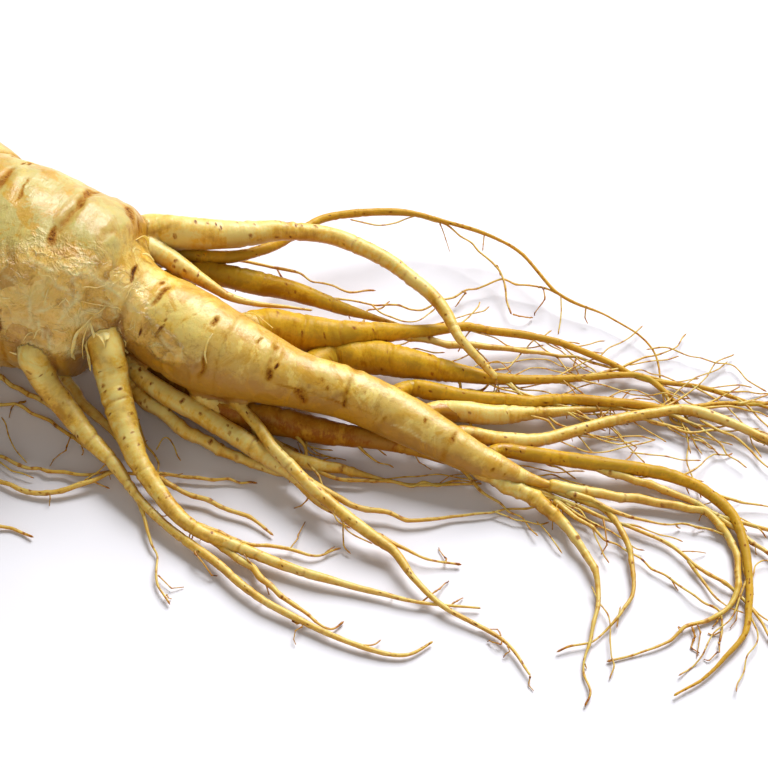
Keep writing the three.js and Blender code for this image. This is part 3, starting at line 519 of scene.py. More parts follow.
def lenticels(line, gap, rng):
    """Marks strewn along a side root, about one each gap, in the form of BODY_MARKS: most are short dark
    dashes across it, and one in ten is a faint ring."""
    count = max(1, int(line.along[-1] / gap))
    place = rng.uniform(2, line.along[-1], count)
    girth = np.interp(place, line.along, line.radius)
    ring = rng.random(count) < 0.1
    return list(zip(
        place,
        rng.uniform(-180, 180, count),
        np.where(ring, 0.35, rng.uniform(0.14, 0.3, count)),
        np.where(ring, 2.2, rng.uniform(0.08, 0.2, count)) * np.maximum(girth, 0.8),
        np.where(ring, 0.08, -0.05) * np.minimum(girth, 1.6),
        np.where(ring, 0.3, rng.uniform(0.7, 1.3, count)),
    ))


def rounded_ends(line):
    """The radius drawn in to a half-ball over its own length at both ends: times the square root of
    1 - (1 - x) squared, x radii from the end."""
    inside = np.minimum(line.along, line.along[-1] - line.along) / np.maximum(line.radius, 0.05)
    return line.radius * np.sqrt(1 - (1 - np.clip(inside, 0.02, 1)) ** 2)


def tube_faces(rings, sides):
    """The quads of a tube's wall and the triangles of its two ends, for points numbered ring by ring, and
    then the first pole and the last."""
    i, j = np.meshgrid(np.arange(rings - 1) * sides, np.arange(sides), indexing="ij")
    k = (j + 1) % sides
    walls = np.stack([i + j, i + k, i + k + sides, i + j + sides], -1).reshape(-1, 4)
    j, k = j[0], k[0]
    first, last = np.full(sides, rings * sides), np.full(sides, rings * sides + 1)
    end = (rings - 1) * sides
    return walls, np.vstack([np.stack([first, k, j], 1), np.stack([last, end + j, end + k], 1)])


def tube(line, sides, heights=0.0):
    """Points, faces and straightened-out places of a closed tube. Point (i, j) is centre i plus
    (radius i + height i, j) times (cos a up i + sin a side i), for angle a = 2 pi j / sides, with a pole at
    each end."""
    angle = np.arange(sides) * 2 * np.pi / sides
    reach = (rounded_ends(line)[:, None] + heights)[..., None]
    spokes = reach * np.stack([np.cos(angle), np.sin(angle)], 1)
    ring = spokes[..., :1] * line.up[:, None] + spokes[..., 1:] * line.side[:, None]
    points = (line.centre[:, None] + ring).reshape(-1, 3)
    along = np.broadcast_to(line.along[:, None], spokes.shape[:2])
    straight = np.dstack([along, spokes]).reshape(-1, 3)
    ends = [(line.along[0], 0, 0), (line.along[-1], 0, 0)]
    points = np.vstack([points, line.centre[0], line.centre[-1]])
    return points, list(tube_faces(len(line.along), sides)), np.vstack([straight, ends])


def joined(parts):
    """Many (points, faces, layers) as one: faces is a list of index arrays, and layers a dictionary."""
    shift = np.append(0, np.cumsum([len(points) for points, _, _ in parts]))
    points = np.vstack([points for points, _, _ in parts])
    faces = [block + s for (_, blocks, _), s in zip(parts, shift) for block in blocks]
    layers = {name: np.concatenate([layer[name] for _, _, layer in parts]) for name in parts[0][2]}
    return points, faces, layers


def mesh_object(name, points, faces, layers):
    """A smooth mesh of points in mm, its faces, and its named values at each point."""
    mesh = bpy.data.meshes.new(name)
    mesh.from_pydata(points * MM, [], [corner for block in faces for corner in block.tolist()])
    for layer, values in layers.items():
        kind = ("FLOAT_VECTOR", "vector") if values.ndim == 2 else ("FLOAT", "value")
        made = mesh.attributes.new(layer, kind[0], "POINT")
        made.data.foreach_set(kind[1], np.ascontiguousarray(values, np.float32).ravel())
    mesh.shade_smooth()
    piece = bpy.data.objects.new(name, mesh)
    bpy.context.scene.collection.objects.link(piece)
    return piece


def grow(piece, material):
    """Gives a finished piece its material and its place on the frame."""
    piece.data.materials.append(material)
    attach(piece, BODY_NAME)
    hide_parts(NODE_NAME)


def body_line():
    """The body's line, whose tip thins out inside the rootlets that carry it on."""
    line = line_of(BODY, BODY_STEP)
    thinning = ease((line.along - line.along[-1] + TIP_REACH) / TIP_REACH)
    return line._replace(radius=line.radius * (1 - 0.45 * thinning))


def leaves_body(line, body):
    """How far along a side root its centre comes out of the body's surface."""
    gap, _ = nearest(line.centre, body)
    buried = np.flatnonzero(gap < 0)
    return line.along[buried[-1]] if len(buried) and buried[0] == 0 else 0.0


def root_base(route, body):
    """The first stretch of a side root, for the body's skin: it is thinner inside the body, swells a little
    where it leaves it, and sinks into its own side root at the end of its reach."""
    line = line_of(route, BASE_STEP)
    beyond = line.along - leaves_body(line, body)
    swell = 1 + 0.12 * np.exp(-np.maximum(beyond, 0) / 1.5)
    swell = swell - 0.12 * ease(beyond / BASE_REACH) - 0.3 * ease(-beyond / 3)
    keep = beyond < BASE_REACH
    return Line(*(values[keep] for values in line._replace(radius=line.radius * swell)))


def torn(straight, radius):
    """How torn the body's skin is, from 0 to 1: the sum of exp(-distance squared) over its patches."""
    angle = np.degrees(np.arctan2(straight[..., 2], straight[..., 1]))
    total = np.zeros(straight.shape[:-1])
    for place, turn, reach_along, reach_round in TORN_PATCHES:
        off = np.radians(angle - turn) * radius / reach_round
        total += np.exp(-(((straight[..., 0] - place) / reach_along) ** 2) - off**2)
    return ease(total)


def body_height(straight, radius, marks):
    """Height in mm of the body's skin over a plain round root, and how dark it is: the sum of broad
    swellings, wrinkles that run round the root and fine lumps, less the depth of the marks."""
    depth, dark = pressed(straight, radius, marks)
    broad = 0.03 * radius * ripple(straight, 11, 3)
    wrinkles = 0.07 * ripple(straight * (1, 0.3, 0.3), 1.1, 21) * ease(radius / 6)
    return broad + wrinkles + 0.05 * ripple(straight, 1.6, 31) - depth, dark


def over_patches(rng, count, spread, degrees_per_mm):
    """Random places on the torn patches: how far along the body in mm, and how far round it in degrees."""
    patch = np.array(TORN_PATCHES, float)[rng.choice(len(TORN_PATCHES), count, p=PATCH_SHARES)]
    along = patch[:, 0] + rng.normal(0, 0.5, count) * patch[:, 2] * spread
    return along, patch[:, 1] + rng.normal(0, 0.5, count) * patch[:, 3] * spread * degrees_per_mm


def random_folds(rng, count):
    """Short seeded folds of film strewn over the torn patches, each (half width, its places): every step's
    heading is the last one's turned a little."""
    degrees_per_mm = 4.5
    along, turn = over_patches(rng, count, spread=1, degrees_per_mm=degrees_per_mm)
    heading = rng.uniform(0, np.pi, (count, 1)) + np.cumsum(rng.normal(0, 0.45, (count, 4)), axis=1)
    reach = rng.uniform(0.5, 1.5, (count, 1))
    along = along[:, None] + np.cumsum(reach * np.cos(heading), axis=1)
    turn = turn[:, None] + np.cumsum(degrees_per_mm * reach * np.sin(heading), axis=1)
    widths = rng.uniform(0.2, 0.34, count)
    return [(width, list(zip(*places))) for width, *places in zip(widths, along, turn)]


def film_ridges(straight, girth, folds):
    """How much of a fold of film lies at each point of the body, from 0 to 1: exp(-x squared) across the
    nearest fold, tapered to the fold's ends."""
    angle = np.degrees(np.arctan2(straight[:, 2], straight[:, 1]))
    total = np.zeros(len(straight))
    for width, places in folds:
        run = line_of([(place, turn / 5, 0, 0) for place, turn in places], 0.12)
        along, turn = run.centre[:, 0], 5 * run.centre[:, 1]
        taper = np.sin(np.pi * (0.08 + 0.88 * run.along / run.along[-1])) ** 0.5
        close = np.flatnonzero(np.abs(straight[:, 0] - along.mean()) < np.ptp(along) / 2 + 2)
        across = np.radians(angle[close, None] - turn) * girth[close, None]
        off = np.hypot(straight[close, :1] - along, across) / width
        total[close] = np.maximum(total[close], (np.exp(-(off**2)) * taper).max(axis=1))
    return total


def skin_shell(body):
    """The lines and plain tubes of the body, neck, stem stub and side-root bases, the tubes remeshed into
    one closed shell whose joins are eased."""
    sizes = bpy.context.scene.ginseng_sizes
    lines = [body, line_of(NECK, BASE_STEP), line_of(STEM_STUB, BASE_STEP)]
    lines += [root_base(route, body) for route in SIDE_ROOTS.values()]
    tubes = [tube(line, BODY_SIDES if line is body else BASE_SIDES) for line in lines]
    points, faces, _ = joined([(p, f, {}) for p, f, _ in tubes])
    draft = mesh_object("draft", points, faces, {})
    remesh = draft.modifiers.new("one skin", "REMESH")
    remesh.mode = "VOXEL"
    remesh.voxel_size = sizes.skin_grain
    smooth = draft.modifiers.new("ease the joins", "SMOOTH")
    smooth.factor = 0.5
    smooth.iterations = 6
    mesh = bpy.data.meshes.new_from_object(draft.evaluated_get(bpy.context.evaluated_depsgraph_get()))
    bpy.data.objects.remove(draft)
    return lines, mesh


def read(mesh, what, name):
    """A vector at each of the mesh's points, as one array."""
    values = np.empty(len(mesh.vertices) * 3, np.float32)
    getattr(mesh, what).foreach_get(name, values)
    return values.reshape(-1, 3).astype(float)


def hollowness(mesh, points, normals, rounds):
    """How far in mm each point lies behind where its neighbours' mean stands after a number of rounds of
    averaging, along its normal: above 0 in a crease, below 0 on a ridge."""
    edges = np.empty(len(mesh.edges) * 2, np.int32)
    mesh.edges.foreach_get("vertices", edges)
    a, b = edges.reshape(-1, 2).T
    near, far = np.concatenate([a, b]), np.concatenate([b, a])
    count = np.bincount(near, minlength=len(points))
    mean = points
    for _ in range(rounds):
        mean = np.stack([np.bincount(near, mean[far, k], len(points)) / count for k in range(3)], 1)
    return ((mean - points) * normals).sum(axis=1)


def skin_of_body():
    """The shell's points moved out along their normals by the height of the skin. Each point belongs to the
    body near its surface, and else to the root whose round surface is nearest, and the height fades where
    two roots meet."""
    body = body_line()
    lines, mesh = skin_shell(body)
    points = read(mesh, "vertices", "co") / MM
    normals = read(mesh, "vertex_normals", "vector")
    found = [nearest(points, line) for line in lines]
    gaps = np.stack([gap for gap, _ in found])
    order = np.sort(gaps, axis=0)
    owner = np.where(gaps[0] < OWN_MARGIN, 0, gaps.argmin(axis=0))
    apart = ease((order[1] - order[0]) / 0.8)
    straight = np.choose(owner[:, None], [place for _, place in found])
    girth = np.hypot(straight[:, 1], straight[:, 2])
    rng = np.random.default_rng(BODY_SEED)
    height = np.zeros(len(points))
    scar = np.zeros(len(points))
    for index, line in enumerate(lines):
        strewn = lenticels(line, 5 if line is body else 2, rng)
        marks = BODY_MARKS + strewn if line is body else strewn
        mine = owner == index
        height[mine], scar[mine] = body_height(straight[mine], girth[mine], marks)
    hollow = hollowness(mesh, points, normals, rounds=14)
    # Painted shade in the creases: deeper in a hollow, less where the skin faces up.
    crease_shade = ease(hollow / 0.35) * (1 - 0.8 * np.maximum(normals[:, 2], 0))
    film = film_ridges(straight, girth, FOLDS + random_folds(rng, count=14)) * (owner == 0)
    points += normals * (height * apart + 0.1 * film)[:, None]
    points[:, 2] = np.maximum(points[:, 2], 0)
    layers = {
        "straight": straight + np.stack([owner * PATTERN_SHIFT, girth * 0, girth * 0], 1),
        "scar": scar * (0.3 + 0.7 * apart),
        "crease_shade": crease_shade,
        "film": film,
        "torn": np.where(owner == 0, torn(straight, girth), 0),
        "thin": (1 - ease((girth - 2) / 13)) * np.where(owner == 0, 1, ease(gaps[0] / 2.5)),
        # top: the cosine from the root's top, kept below the normal's height plus 0.3; it places the
        # painted highlight on top and the painted shade below.
        "top": np.minimum(straight[:, 1] / np.maximum(girth, 0.1), normals[:, 2] + 0.3),
        "side": np.where(owner > 2, ease(gaps[0] / 2.4), 0),
        "golden": np.isin(owner - 3, [list(SIDE_ROOTS).index(name) for name in GOLDEN_ROOTS]) * 1.0,
    }
    faces = np.empty(len(mesh.loops), np.int32)
    mesh.loops.foreach_get("vertex_index", faces)
    return mesh_object("body_skin", points, [faces.reshape(-1, 4)], layers)


def side_root(route, index, step, sides, body):
    """One side root as a tube that starts 2 mm inside the body: kinked a little, its girth uneven, with
    lenticels and faint rings."""
    rng = np.random.default_rng(SIDE_ROOT_SEED + index)
    line = thinned(line_of(route, step))
    keep = line.along >= leaves_body(line, body) - 2
    line, _ = kinked(line, gap=7, reach=0.22, rng=rng)
    line = Line(*(values[keep] for values in line))
    return dressed_tube(line, sides, index, lenticels(line, gap=0.7, rng=rng))


def rootlet(route, index, step, sides):
    """One rootlet as a tube: sharply kinked, with a knot at each bend, exp(-x squared) along the root."""
    rng = np.random.default_rng(ROOTLET_SEED + index)
    line = thinned(line_of(route, step))
    line, bends = kinked(line, gap=2.8, reach=0.42 if line.radius.max() < 0.7 else 0.26, rng=rng)
    knots = np.exp(-(((line.along[:, None] - bends) / 0.45) ** 2)) @ rng.uniform(-0.05, 0.24, len(bends))
    line = line._replace(radius=line.radius * (1 + knots))
    joints = [(place, rng.uniform(0, 360), 0.3, 0.6, 0.0, rng.uniform(0.2, 1)) for place in bends]
    tip = [(line.along[-1], 0, 1.4, 9, 0.0, 0.8)]
    return dressed_tube(line, sides, 40 + index, lenticels(line, 1.5, rng) + joints + tip)


def dressed_tube(line, sides, index, marks):
    """A tube whose skin has swellings about as long as it is thick, fine wrinkles and its marks."""
    angle = np.arange(sides) * 2 * np.pi / sides
    along = np.broadcast_to(line.along[:, None], (len(line.along), sides))
    thick = line.radius[:, None]
    straight = np.dstack([along, thick * np.cos(angle), thick * np.sin(angle)])
    depth, dark = pressed(straight, thick, marks)
    swell = 0.07 * ripple(straight, 3.2, index) + 0.025 * ripple(straight * (1, 0.5, 0.5), 1, index + 5)
    points, faces, places = tube(line, sides, thick * swell - depth)
    ends = [dark[0].mean(), dark[-1].mean()]
    layers = {
        "straight": places + (PATTERN_SHIFT * (index + 30), 0, 0),
        "scar": np.append(dark.ravel(), ends),
        "thin": np.append(np.repeat(1 - ease(line.radius / 1.6), sides), [1, 1]),
        # top places the tube's painted highlight and painted shade.
        "top": np.append(np.tile(np.cos(angle), len(line.along)), [0, 0]),
    }
    return points, faces, layers


def offshoots(rng, hosts, grows, count, least, most):
    """Seeded starts on the hosts' points that grows allows, each (centre, tangent, radius), and the heading
    of what leaves each one: its host's own, turned to one side by an angle from least to most."""
    spots = np.vstack([np.column_stack([h.centre, h.tangent, h.radius])[grows(h)] for h in hosts])
    chosen = spots[rng.integers(0, len(spots), count)]
    aside = rng.choice([-1, 1], count) * rng.uniform(least, most, count)
    return chosen, np.arctan2(chosen[:, 4], chosen[:, 3]) + aside


def walked(start, headings, stride):
    """Flat routes from their starts (x, y): each next point is a stride on from the last on its heading."""
    steps = stride[:, None, None] * np.dstack([np.cos(headings), np.sin(headings)])
    return start[:, None] + np.concatenate([np.zeros((len(start), 1, 2)), np.cumsum(steps, axis=1)], axis=1)


def within_solid(routes, margin):
    """Whether all of a route's points lie inside the solid's box, drawn in by the margin."""
    low, high = np.array(CAD_BOX) / MM
    return ((routes > low + margin) & (routes < high - margin)).all(axis=(1, 2))


def strands(rng, count, names, least_x):
    """Seeded routes of thin roots, as (x, y, z, radius) in mm. A strand leaves a named root, past least_x,
    at a low angle, runs along with it and sinks to the table."""
    routes = {**SIDE_ROOTS, **ROOTLETS}
    hosts = [line_of(routes[name], step=1) for name in names]
    chosen, heading = offshoots(
        rng, hosts, lambda h: (h.radius > 0.3) & (h.centre[:, 0] > least_x), count, least=0.1, most=0.5
    )
    steps = 5
    bend = rng.normal(0, 0.22, (count, steps)) - 0.04
    turns = heading[:, None] + np.cumsum(bend, axis=1)
    flat = walked(chosen[:, :2], turns, rng.uniform(6, 26, count) / steps)
    fall = np.linspace(0, 1, steps + 1)
    height = chosen[:, 2:3] * (1 - 0.8 * fall) + 0.5 * fall
    thick = rng.uniform(0.24, 0.46, (count, 1)) * (1 - 0.5 * fall)
    made = np.dstack([flat, height, thick])
    return made[within_solid(made[..., :3], margin=0.5)]


def twigs(rng, count, reach):
    """Seeded twigs as one mesh: each leaves a thin root sideways and wanders on, bending at a few knots and
    sinking to the table. Step k of every twig is worked out at once."""
    hosts = [thinned(line_of(route, step=1)) for route in (*SIDE_ROOTS.values(), *ROOTLETS.values())]
    chosen, heading = offshoots(
        rng, hosts, lambda h: (h.radius < 1.3) & (h.centre[:, 2] < 9), count, least=0.4, most=1.3
    )
    length = reach * rng.uniform(0.2, 1, count) ** 1.7
    steps, sides = 16, 6
    knot = rng.random((count, steps)) < 0.22
    turns = heading[:, None] + np.cumsum(rng.normal(0, 0.6, (count, steps)) * knot, axis=1)
    flat = walked(chosen[:, :2], turns, length / steps)
    fall = np.linspace(0, 1, steps + 1)
    rise = rng.uniform(-0.4, 0.5, (count, 1)) * chosen[:, 2:3] * np.sin(fall * np.pi)
    swell = np.pad(knot * rng.uniform(0.2, 0.6, (count, steps)), ((0, 0), (0, 1)))
    thick = rng.uniform(0.11, 0.19, (count, 1)) * (1 - 0.45 * fall) * (1 + swell)
    height = np.maximum(chosen[:, 2:3] * (1 - 0.7 * fall) + rise, thick + 0.03)
    centre = np.dstack([flat, height])
    inside = within_solid(centre, margin=-1)
    centre, thick = centre[inside], thick[inside, :, None]
    forward = np.gradient(centre, axis=1)
    across = unit(np.cross(forward, (0, 0, 1)))
    points, faces = bundle(centre, thick * across, thick * unit(np.cross(across, forward)), sides)
    dark = np.clip(0.9 * knot + ease((fall[1:] - 0.7) / 0.3) * 0.7, 0, 1)[inside]
    dark = np.pad(dark, ((0, 0), (1, 0)))
    scar = np.hstack([np.repeat(dark, sides, axis=1), dark[:, :1], dark[:, -1:]]).ravel()
    return mesh_object("twigs", points, faces, {"straight": points, "scar": scar, "thin": scar * 0 + 0.5})


# The torn rims of skin round side roots' bases, as (turn round the root in degrees, length of rim in mm).
COLLARS = {
    "lower_middle": [
        (-120, -1), (-106, 1.2), (-85, 2), (-66, 0.4), (-54, -1), (-28, -1), (-10, 1.2), (4, 2),
        (14, 0.6), (28, -1), (48, -1), (60, 1), (78, 3.6), (95, 4.2), (110, 2.2), (125, -1),
    ],
    "lower_right": [(-95, -1), (-40, 0.8), (0, 1.4), (20, -1), (50, -1), (60, 0.8), (90, -1)],
    "crotch_spur": [(-80, -1), (-20, 0.4), (40, 0.8), (90, -1)],
}
# Flaps of skin that curl away from the body beside those bases: half width, tilt off the skin in degrees,
# and (x, y, z) along the flap, in mm.
FLAPS = [
    (0.42, 60, [(18.8, -19.6, 21.6), (17.6, -20.8, 20.9), (16.3, -21.8, 20), (15.5, -22.2, 17.8),
                (14.9, -22, 15), (14.6, -20.6, 11.5)]),
    (0.2, -40, [(18, -20.6, 20.4), (17.2, -21.4, 18.6), (16.6, -21.6, 15.8), (16.2, -20.8, 12)]),
    (0.28, 30, [(18.4, -20, 20.4), (18.8, -20.8, 18.4), (19.4, -21.2, 16.4), (19.6, -21.4, 15)]),
    (0.4, 60, [(19.2, -20.6, 16.4), (20.8, -20.4, 16), (22.2, -19.8, 14.6), (23.2, -19, 12.6),
               (23.8, -18.6, 11)]),
    (0.25, 40, [(4, -22.4, 15.6), (6, -23, 15.6), (8.4, -23.4, 16.4), (10.4, -23.6, 16.4)]),
    (0.3, 50, [(25.4, -5.2, 25.6), (26.4, -3.4, 24.6), (27, -2.4, 22.8), (27, -2.2, 20.8)]),
    (0.25, -30, [(26.6, -7.4, 24.4), (27.6, -6.6, 23.2), (28.4, -6.4, 21.6)]),
    (0.25, 30, [(44.7, -16.2, 18.6), (46, -15.8, 18.2), (47.6, -16.6, 17.6), (49.6, -17.8, 16.6)]),
    (0.2, 25, [(39.6, -22.6, 20.6), (38.8, -24, 19.9), (38.3, -25.4, 18.6), (38.6, -26.4, 17.2)]),
]


def flap(half_width, tilt, route, body):
    """A curled ribbon along its route: it stands up from the body at its tilt with one edge in the skin,
    and its width is sin(pi x) to the power 0.6, x of the way along it."""
    line = line_of([(*place, 0) for place in route], 0.25)
    close = ((line.centre[:, None] - body.centre) ** 2).sum(axis=2).argmin(axis=1)
    out = unit(line.centre - body.centre[close])
    across = unit(np.cross(line.tangent, out))
    turn = np.radians(tilt + 25 * ripple(line.centre, 3, int(10 * half_width)))[:, None]
    wide = across * np.cos(turn) + out * np.sin(turn)
    width = half_width * np.sin(np.pi * (0.05 + 0.88 * line.along / line.along[-1]))[:, None] ** 0.6
    centre = line.centre + out * width * np.abs(np.sin(turn)) * 0.7
    thin = np.minimum(0.07, 0.8 * width) * unit(np.cross(line.tangent, wide))
    return bundle(centre[None], (width * wide)[None], thin[None], 10)


def sleeve(route, rim, body, seed):
    """A rim of torn skin round a side root's base, as a sheet over (turn, distance from the body). It
    starts inside the body's skin, stands 0.1 mm off the root, and flares and ripples towards its ragged
    edge."""
    line = line_of(route, 0.2)
    turns, lengths = np.array(rim, float).T
    columns, rows = 90, 16
    turn = np.linspace(turns[0], turns[-1], columns)
    out = np.linspace(0, 1, rows)[None, :]
    ragged = np.interp(turn, turns, lengths) * (1 + 0.3 * ripple(np.outer(turn, (1, 0, 0)), 9, seed))
    along = leaves_body(line, body) - 0.9 + out * (ragged[:, None] + 1.2)
    over = np.dstack([along, along * 0 + turn[:, None] / 20, along * 0])
    around = np.radians(turn)[:, None] + 0.05 * ripple(over, 1.5, seed)
    flare = 1 + ripple(np.outer(turn, (1, 0, 0)), 16, seed + 3)
    lift = 0.35 * np.exp(-2.5 * out) + 0.1 + 0.3 * out**3 * flare[:, None]
    centre, up, side = along_axis(line, along, line.centre, line.up, line.side)
    radius = np.interp(along, line.along, line.radius)
    spoke = np.cos(around)[..., None] * up + np.sin(around)[..., None] * side
    points = centre + (radius + lift)[..., None] * spoke
    i, j = np.meshgrid(np.arange(columns - 1) * rows, np.arange(rows - 1), indexing="ij")
    faces = np.stack([i + j, i + j + rows, i + j + rows + 1, i + j + 1], -1).reshape(-1, 4)
    straight = np.dstack([along, np.radians(turn)[:, None] * radius, out + along * 0])
    return points.reshape(-1, 3), [faces], {"straight": straight.reshape(-1, 3)}


def films(body, straight, half_width, lift, tilt):
    """Thin strips of film on the body, as flattened tubes: straight holds the (along, angle) of each
    strip's points, half_width and lift are in mm at each point, and tilt is how far a strip turns about
    itself."""
    along, angle = straight
    radius = np.interp(along, body.along, body.radius)
    pulled = np.dstack([along, radius * np.cos(angle), radius * np.sin(angle)])
    height, _ = body_height(pulled, radius, BODY_MARKS)
    middle, up, side = along_axis(body, along, body.centre, body.up, body.side)
    normal = np.cos(angle)[..., None] * up + np.sin(angle)[..., None] * side
    centre = middle + (radius + height + lift)[..., None] * normal
    forward = np.gradient(centre, axis=1)
    across = unit(np.cross(normal, forward))
    across = across * np.cos(tilt)[..., None] + normal * np.sin(tilt)[..., None]
    thin = np.minimum(0.05, 0.8 * half_width)[..., None] * unit(np.cross(forward, across))
    return bundle(centre, half_width[..., None] * across, thin, 8)


def shreds(body, rng, count, length, half_width, spread):
    """Small strips of film strewn over the torn patches. A strip wanders by a slowly turning heading, and
    its free end lifts with the square of the distance."""
    middle_radius = 13
    start, turn = over_patches(rng, count, spread, np.degrees(1 / middle_radius))
    steps = 13
    reach = length * rng.uniform(0.3, 1, count)
    heading = rng.uniform(-np.pi, np.pi, (count, 1))
    heading = heading + np.cumsum(rng.normal(0, 0.25, (count, steps)), axis=1)
    run = np.dstack([np.cos(heading), np.sin(heading)]) * (reach / steps)[:, None, None]
    run = np.cumsum(run, axis=1)
    along = start[:, None] + run[..., 0]
    angle = np.radians(turn)[:, None] + run[..., 1] / np.interp(along, body.along, body.radius)
    out = np.linspace(0, 1, steps)
    lift = 0.01 + rng.uniform(0, 0.25, (count, 1)) * out**2
    width = half_width * rng.uniform(0.4, 1, (count, 1)) * np.sin(np.pi * (0.12 + 0.8 * out)) ** 0.7
    return films(body, (along, angle), width, lift, rng.normal(0, 0.3, (count, 1)) * out)


def bundle(centre, first, second, sides):
    """Many closed tubes at once: point (n, i, j) is centre (n, i) plus cos a first (n, i) plus sin a
    second (n, i), and each tube closes on a pole at both ends."""
    count, rings = centre.shape[:2]
    angle = np.arange(sides)[:, None] * 2 * np.pi / sides
    rim = centre[:, :, None] + np.cos(angle) * first[:, :, None] + np.sin(angle) * second[:, :, None]
    walls, caps = tube_faces(rings, sides)
    points = np.concatenate([rim.reshape(count, -1, 3), centre[:, :1], centre[:, -1:]], axis=1)
    shift = (np.arange(count) * points.shape[1])[:, None, None]
    return points.reshape(-1, 3), [(walls + shift).reshape(-1, 4), (caps + shift).reshape(-1, 3)]


def put(tree, socket, value):
    """Links another node's output to a socket, or sets the socket's own value."""
    if isinstance(value, bpy.types.NodeSocket):
        tree.links.new(value, socket)
    else:
        socket.default_value = value


def fill_in(tree, node, **inputs):
    """Puts values into a node's sockets by their names, where an underscore is a space."""
    for name, value in inputs.items():
        put(tree, node.inputs[name.replace("_", " ")], value)


def add(tree, kind, settings=None, **inputs):
    """A new node with its settings, and its sockets filled in."""
    made = tree.nodes.new(kind)
    for name, value in (settings or {}).items():
        setattr(made, name, value)
    fill_in(tree, made, **inputs)
    return made


def blended(tree, factor, first, second):
    """The mix of two colours, each a socket or a linear colour."""
    made = add(tree, "ShaderNodeMix", {"data_type": "RGBA"}, Factor=factor)
    for socket, value in zip(made.inputs[6:8], (first, second)):
        put(tree, socket, value if isinstance(value, bpy.types.NodeSocket) else (*value, 1))
    return made.outputs[2]


def tinted(tree, colour, factor, amount, tint):
    """The colour turned to the tint where the factor is high, by no more than the amount."""
    return blended(tree, maths(tree, "MULTIPLY", factor, amount), colour, tint)


def maths(tree, operation, first, second, third=0.0):
    """A number worked out from two or three others, each a socket or a plain number."""
    made = add(tree, "ShaderNodeMath", {"operation": operation})
    for socket, value in zip(made.inputs, (first, second, third)):
        put(tree, socket, value)
    return made.outputs[0]


def spread(tree, value, low, high):
    """A value from 0 to 1 spread from low to high."""
    return add(tree, "ShaderNodeMapRange", Value=value, To_Min=low, To_Max=high).outputs["Result"]


def band(tree, value, low, high):
    """Runs smoothly from 0 where value is low to 1 where it is high."""
    eased = {"interpolation_type": "SMOOTHSTEP"}
    made = add(tree, "ShaderNodeMapRange", eased, Value=value, From_Min=low, From_Max=high)
    return made.outputs["Result"]


def ramp(tree, value, stops):
    """A colour for each value, from (place, linear colour) stops."""
    made = add(tree, "ShaderNodeValToRGB", Fac=value)
    elements = made.color_ramp.elements
    while len(elements) < len(stops):
        elements.new(0.5)
    for element, (place, colour) in zip(elements, stops):
        element.position = place
        element.color = (*colour, 1)
    return made.outputs["Color"]


def layer(tree, name, output="Fac"):
    """One of the mesh's layers: Fac of it is a number, and Vector three."""
    return add(tree, "ShaderNodeAttribute", {"attribute_name": name}).outputs[output]


def cloud(tree, vector, scale, detail=4.0, roughness=0.55, distortion=0.0):
    """Soft noise from 0 to 1 over a vector in m or mm, whose largest waves are 1 / scale long."""
    sizes = {"Scale": scale, "Detail": detail, "Roughness": roughness, "Distortion": distortion}
    made = add(tree, "ShaderNodeTexNoise", Vector=vector, **sizes)
    return made.outputs["Fac"]


def stretched(tree, vector, scale):
    """The vector with each of its three parts scaled by its own number."""
    return add(tree, "ShaderNodeMapping", Vector=vector, Scale=scale).outputs["Vector"]


def bumped(tree, height, depth, below=None):
    """The normal of a surface that stands depth mm higher where the height is 1, laid over the normal of
    the surface below."""
    normal = {} if below is None else {"Normal": below}
    made = add(tree, "ShaderNodeBump", Height=height, Distance=depth * MM, Strength=1.0, **normal)
    return made.outputs["Normal"]


def new_material(name):
    """A new material with its tree, its shader and the place on the object, in metres."""
    material = bpy.data.materials.new(name)
    material.use_nodes = True
    tree = material.node_tree
    return material, tree, tree.nodes["Principled BSDF"], add(tree, "ShaderNodeTexCoord").outputs["Object"]


def skin_tones(tree, tones, place, straight, patch_size):
    """The root's own colour: patches of deep, middle and pale skin about patch_size mm across, with fine
    specks and streaks that run round the root. Also the specks and the streaks."""
    patches = cloud(tree, place, 1000 / patch_size, 5, 0.62, 0.6)
    specks = cloud(tree, straight, 0.9, 4, 0.7)
    streaks = cloud(tree, stretched(tree, straight, (1.7, 0.35, 0.35)), 1.0, 3, 0.6)
    value = maths(tree, "MULTIPLY_ADD", specks, 0.3, patches)
    value = maths(tree, "MULTIPLY_ADD", streaks, 0.22, value)
    value = maths(tree, "SUBTRACT", value, 0.26)
    return ramp(tree, value, list(zip((0.36, 0.47, 0.58), tones))), specks, streaks


def scarred(tree, colour, scar, place, colours):
    """A golden brown halo with an uneven edge where the skin is scarred, a browner core, and near black in
    broken flecks at the darkest of it. Also the level."""
    uneven = maths(tree, "MULTIPLY_ADD", cloud(tree, place, 900, 5, 0.7), 0.9, -0.45)
    rough = maths(tree, "MULTIPLY_ADD", uneven, band(tree, scar, 0.02, 0.3), scar)
    colour = tinted(tree, colour, band(tree, rough, 0.05, 0.5), 0.7, colours.halo)
    breakup = maths(tree, "MULTIPLY_ADD", cloud(tree, place, 1000, 6, 0.8), 4, -1.3)
    level = maths(tree, "MULTIPLY", breakup, scar)
    colour = tinted(tree, colour, band(tree, level, 0.16, 0.6), 0.8, colours.brown)
    return tinted(tree, colour, band(tree, level, 0.5, 0.85), 0.9, colours.dark), level


def veins(tree, vector, scale, width, shift=0.0):
    """Thin lines where a cloud crosses its middle value plus the shift, broken up by a second cloud."""
    field = cloud(tree, vector, scale, 4, 0.6, 0.7)
    line = maths(tree, "ABSOLUTE", maths(tree, "SUBTRACT", field, 0.5 + shift), 0.0)
    shown = band(tree, cloud(tree, vector, 2.3 * scale, 3), 0.46, 0.58)
    return maths(tree, "MULTIPLY", band(tree, line, width, 0.15 * width), shown)


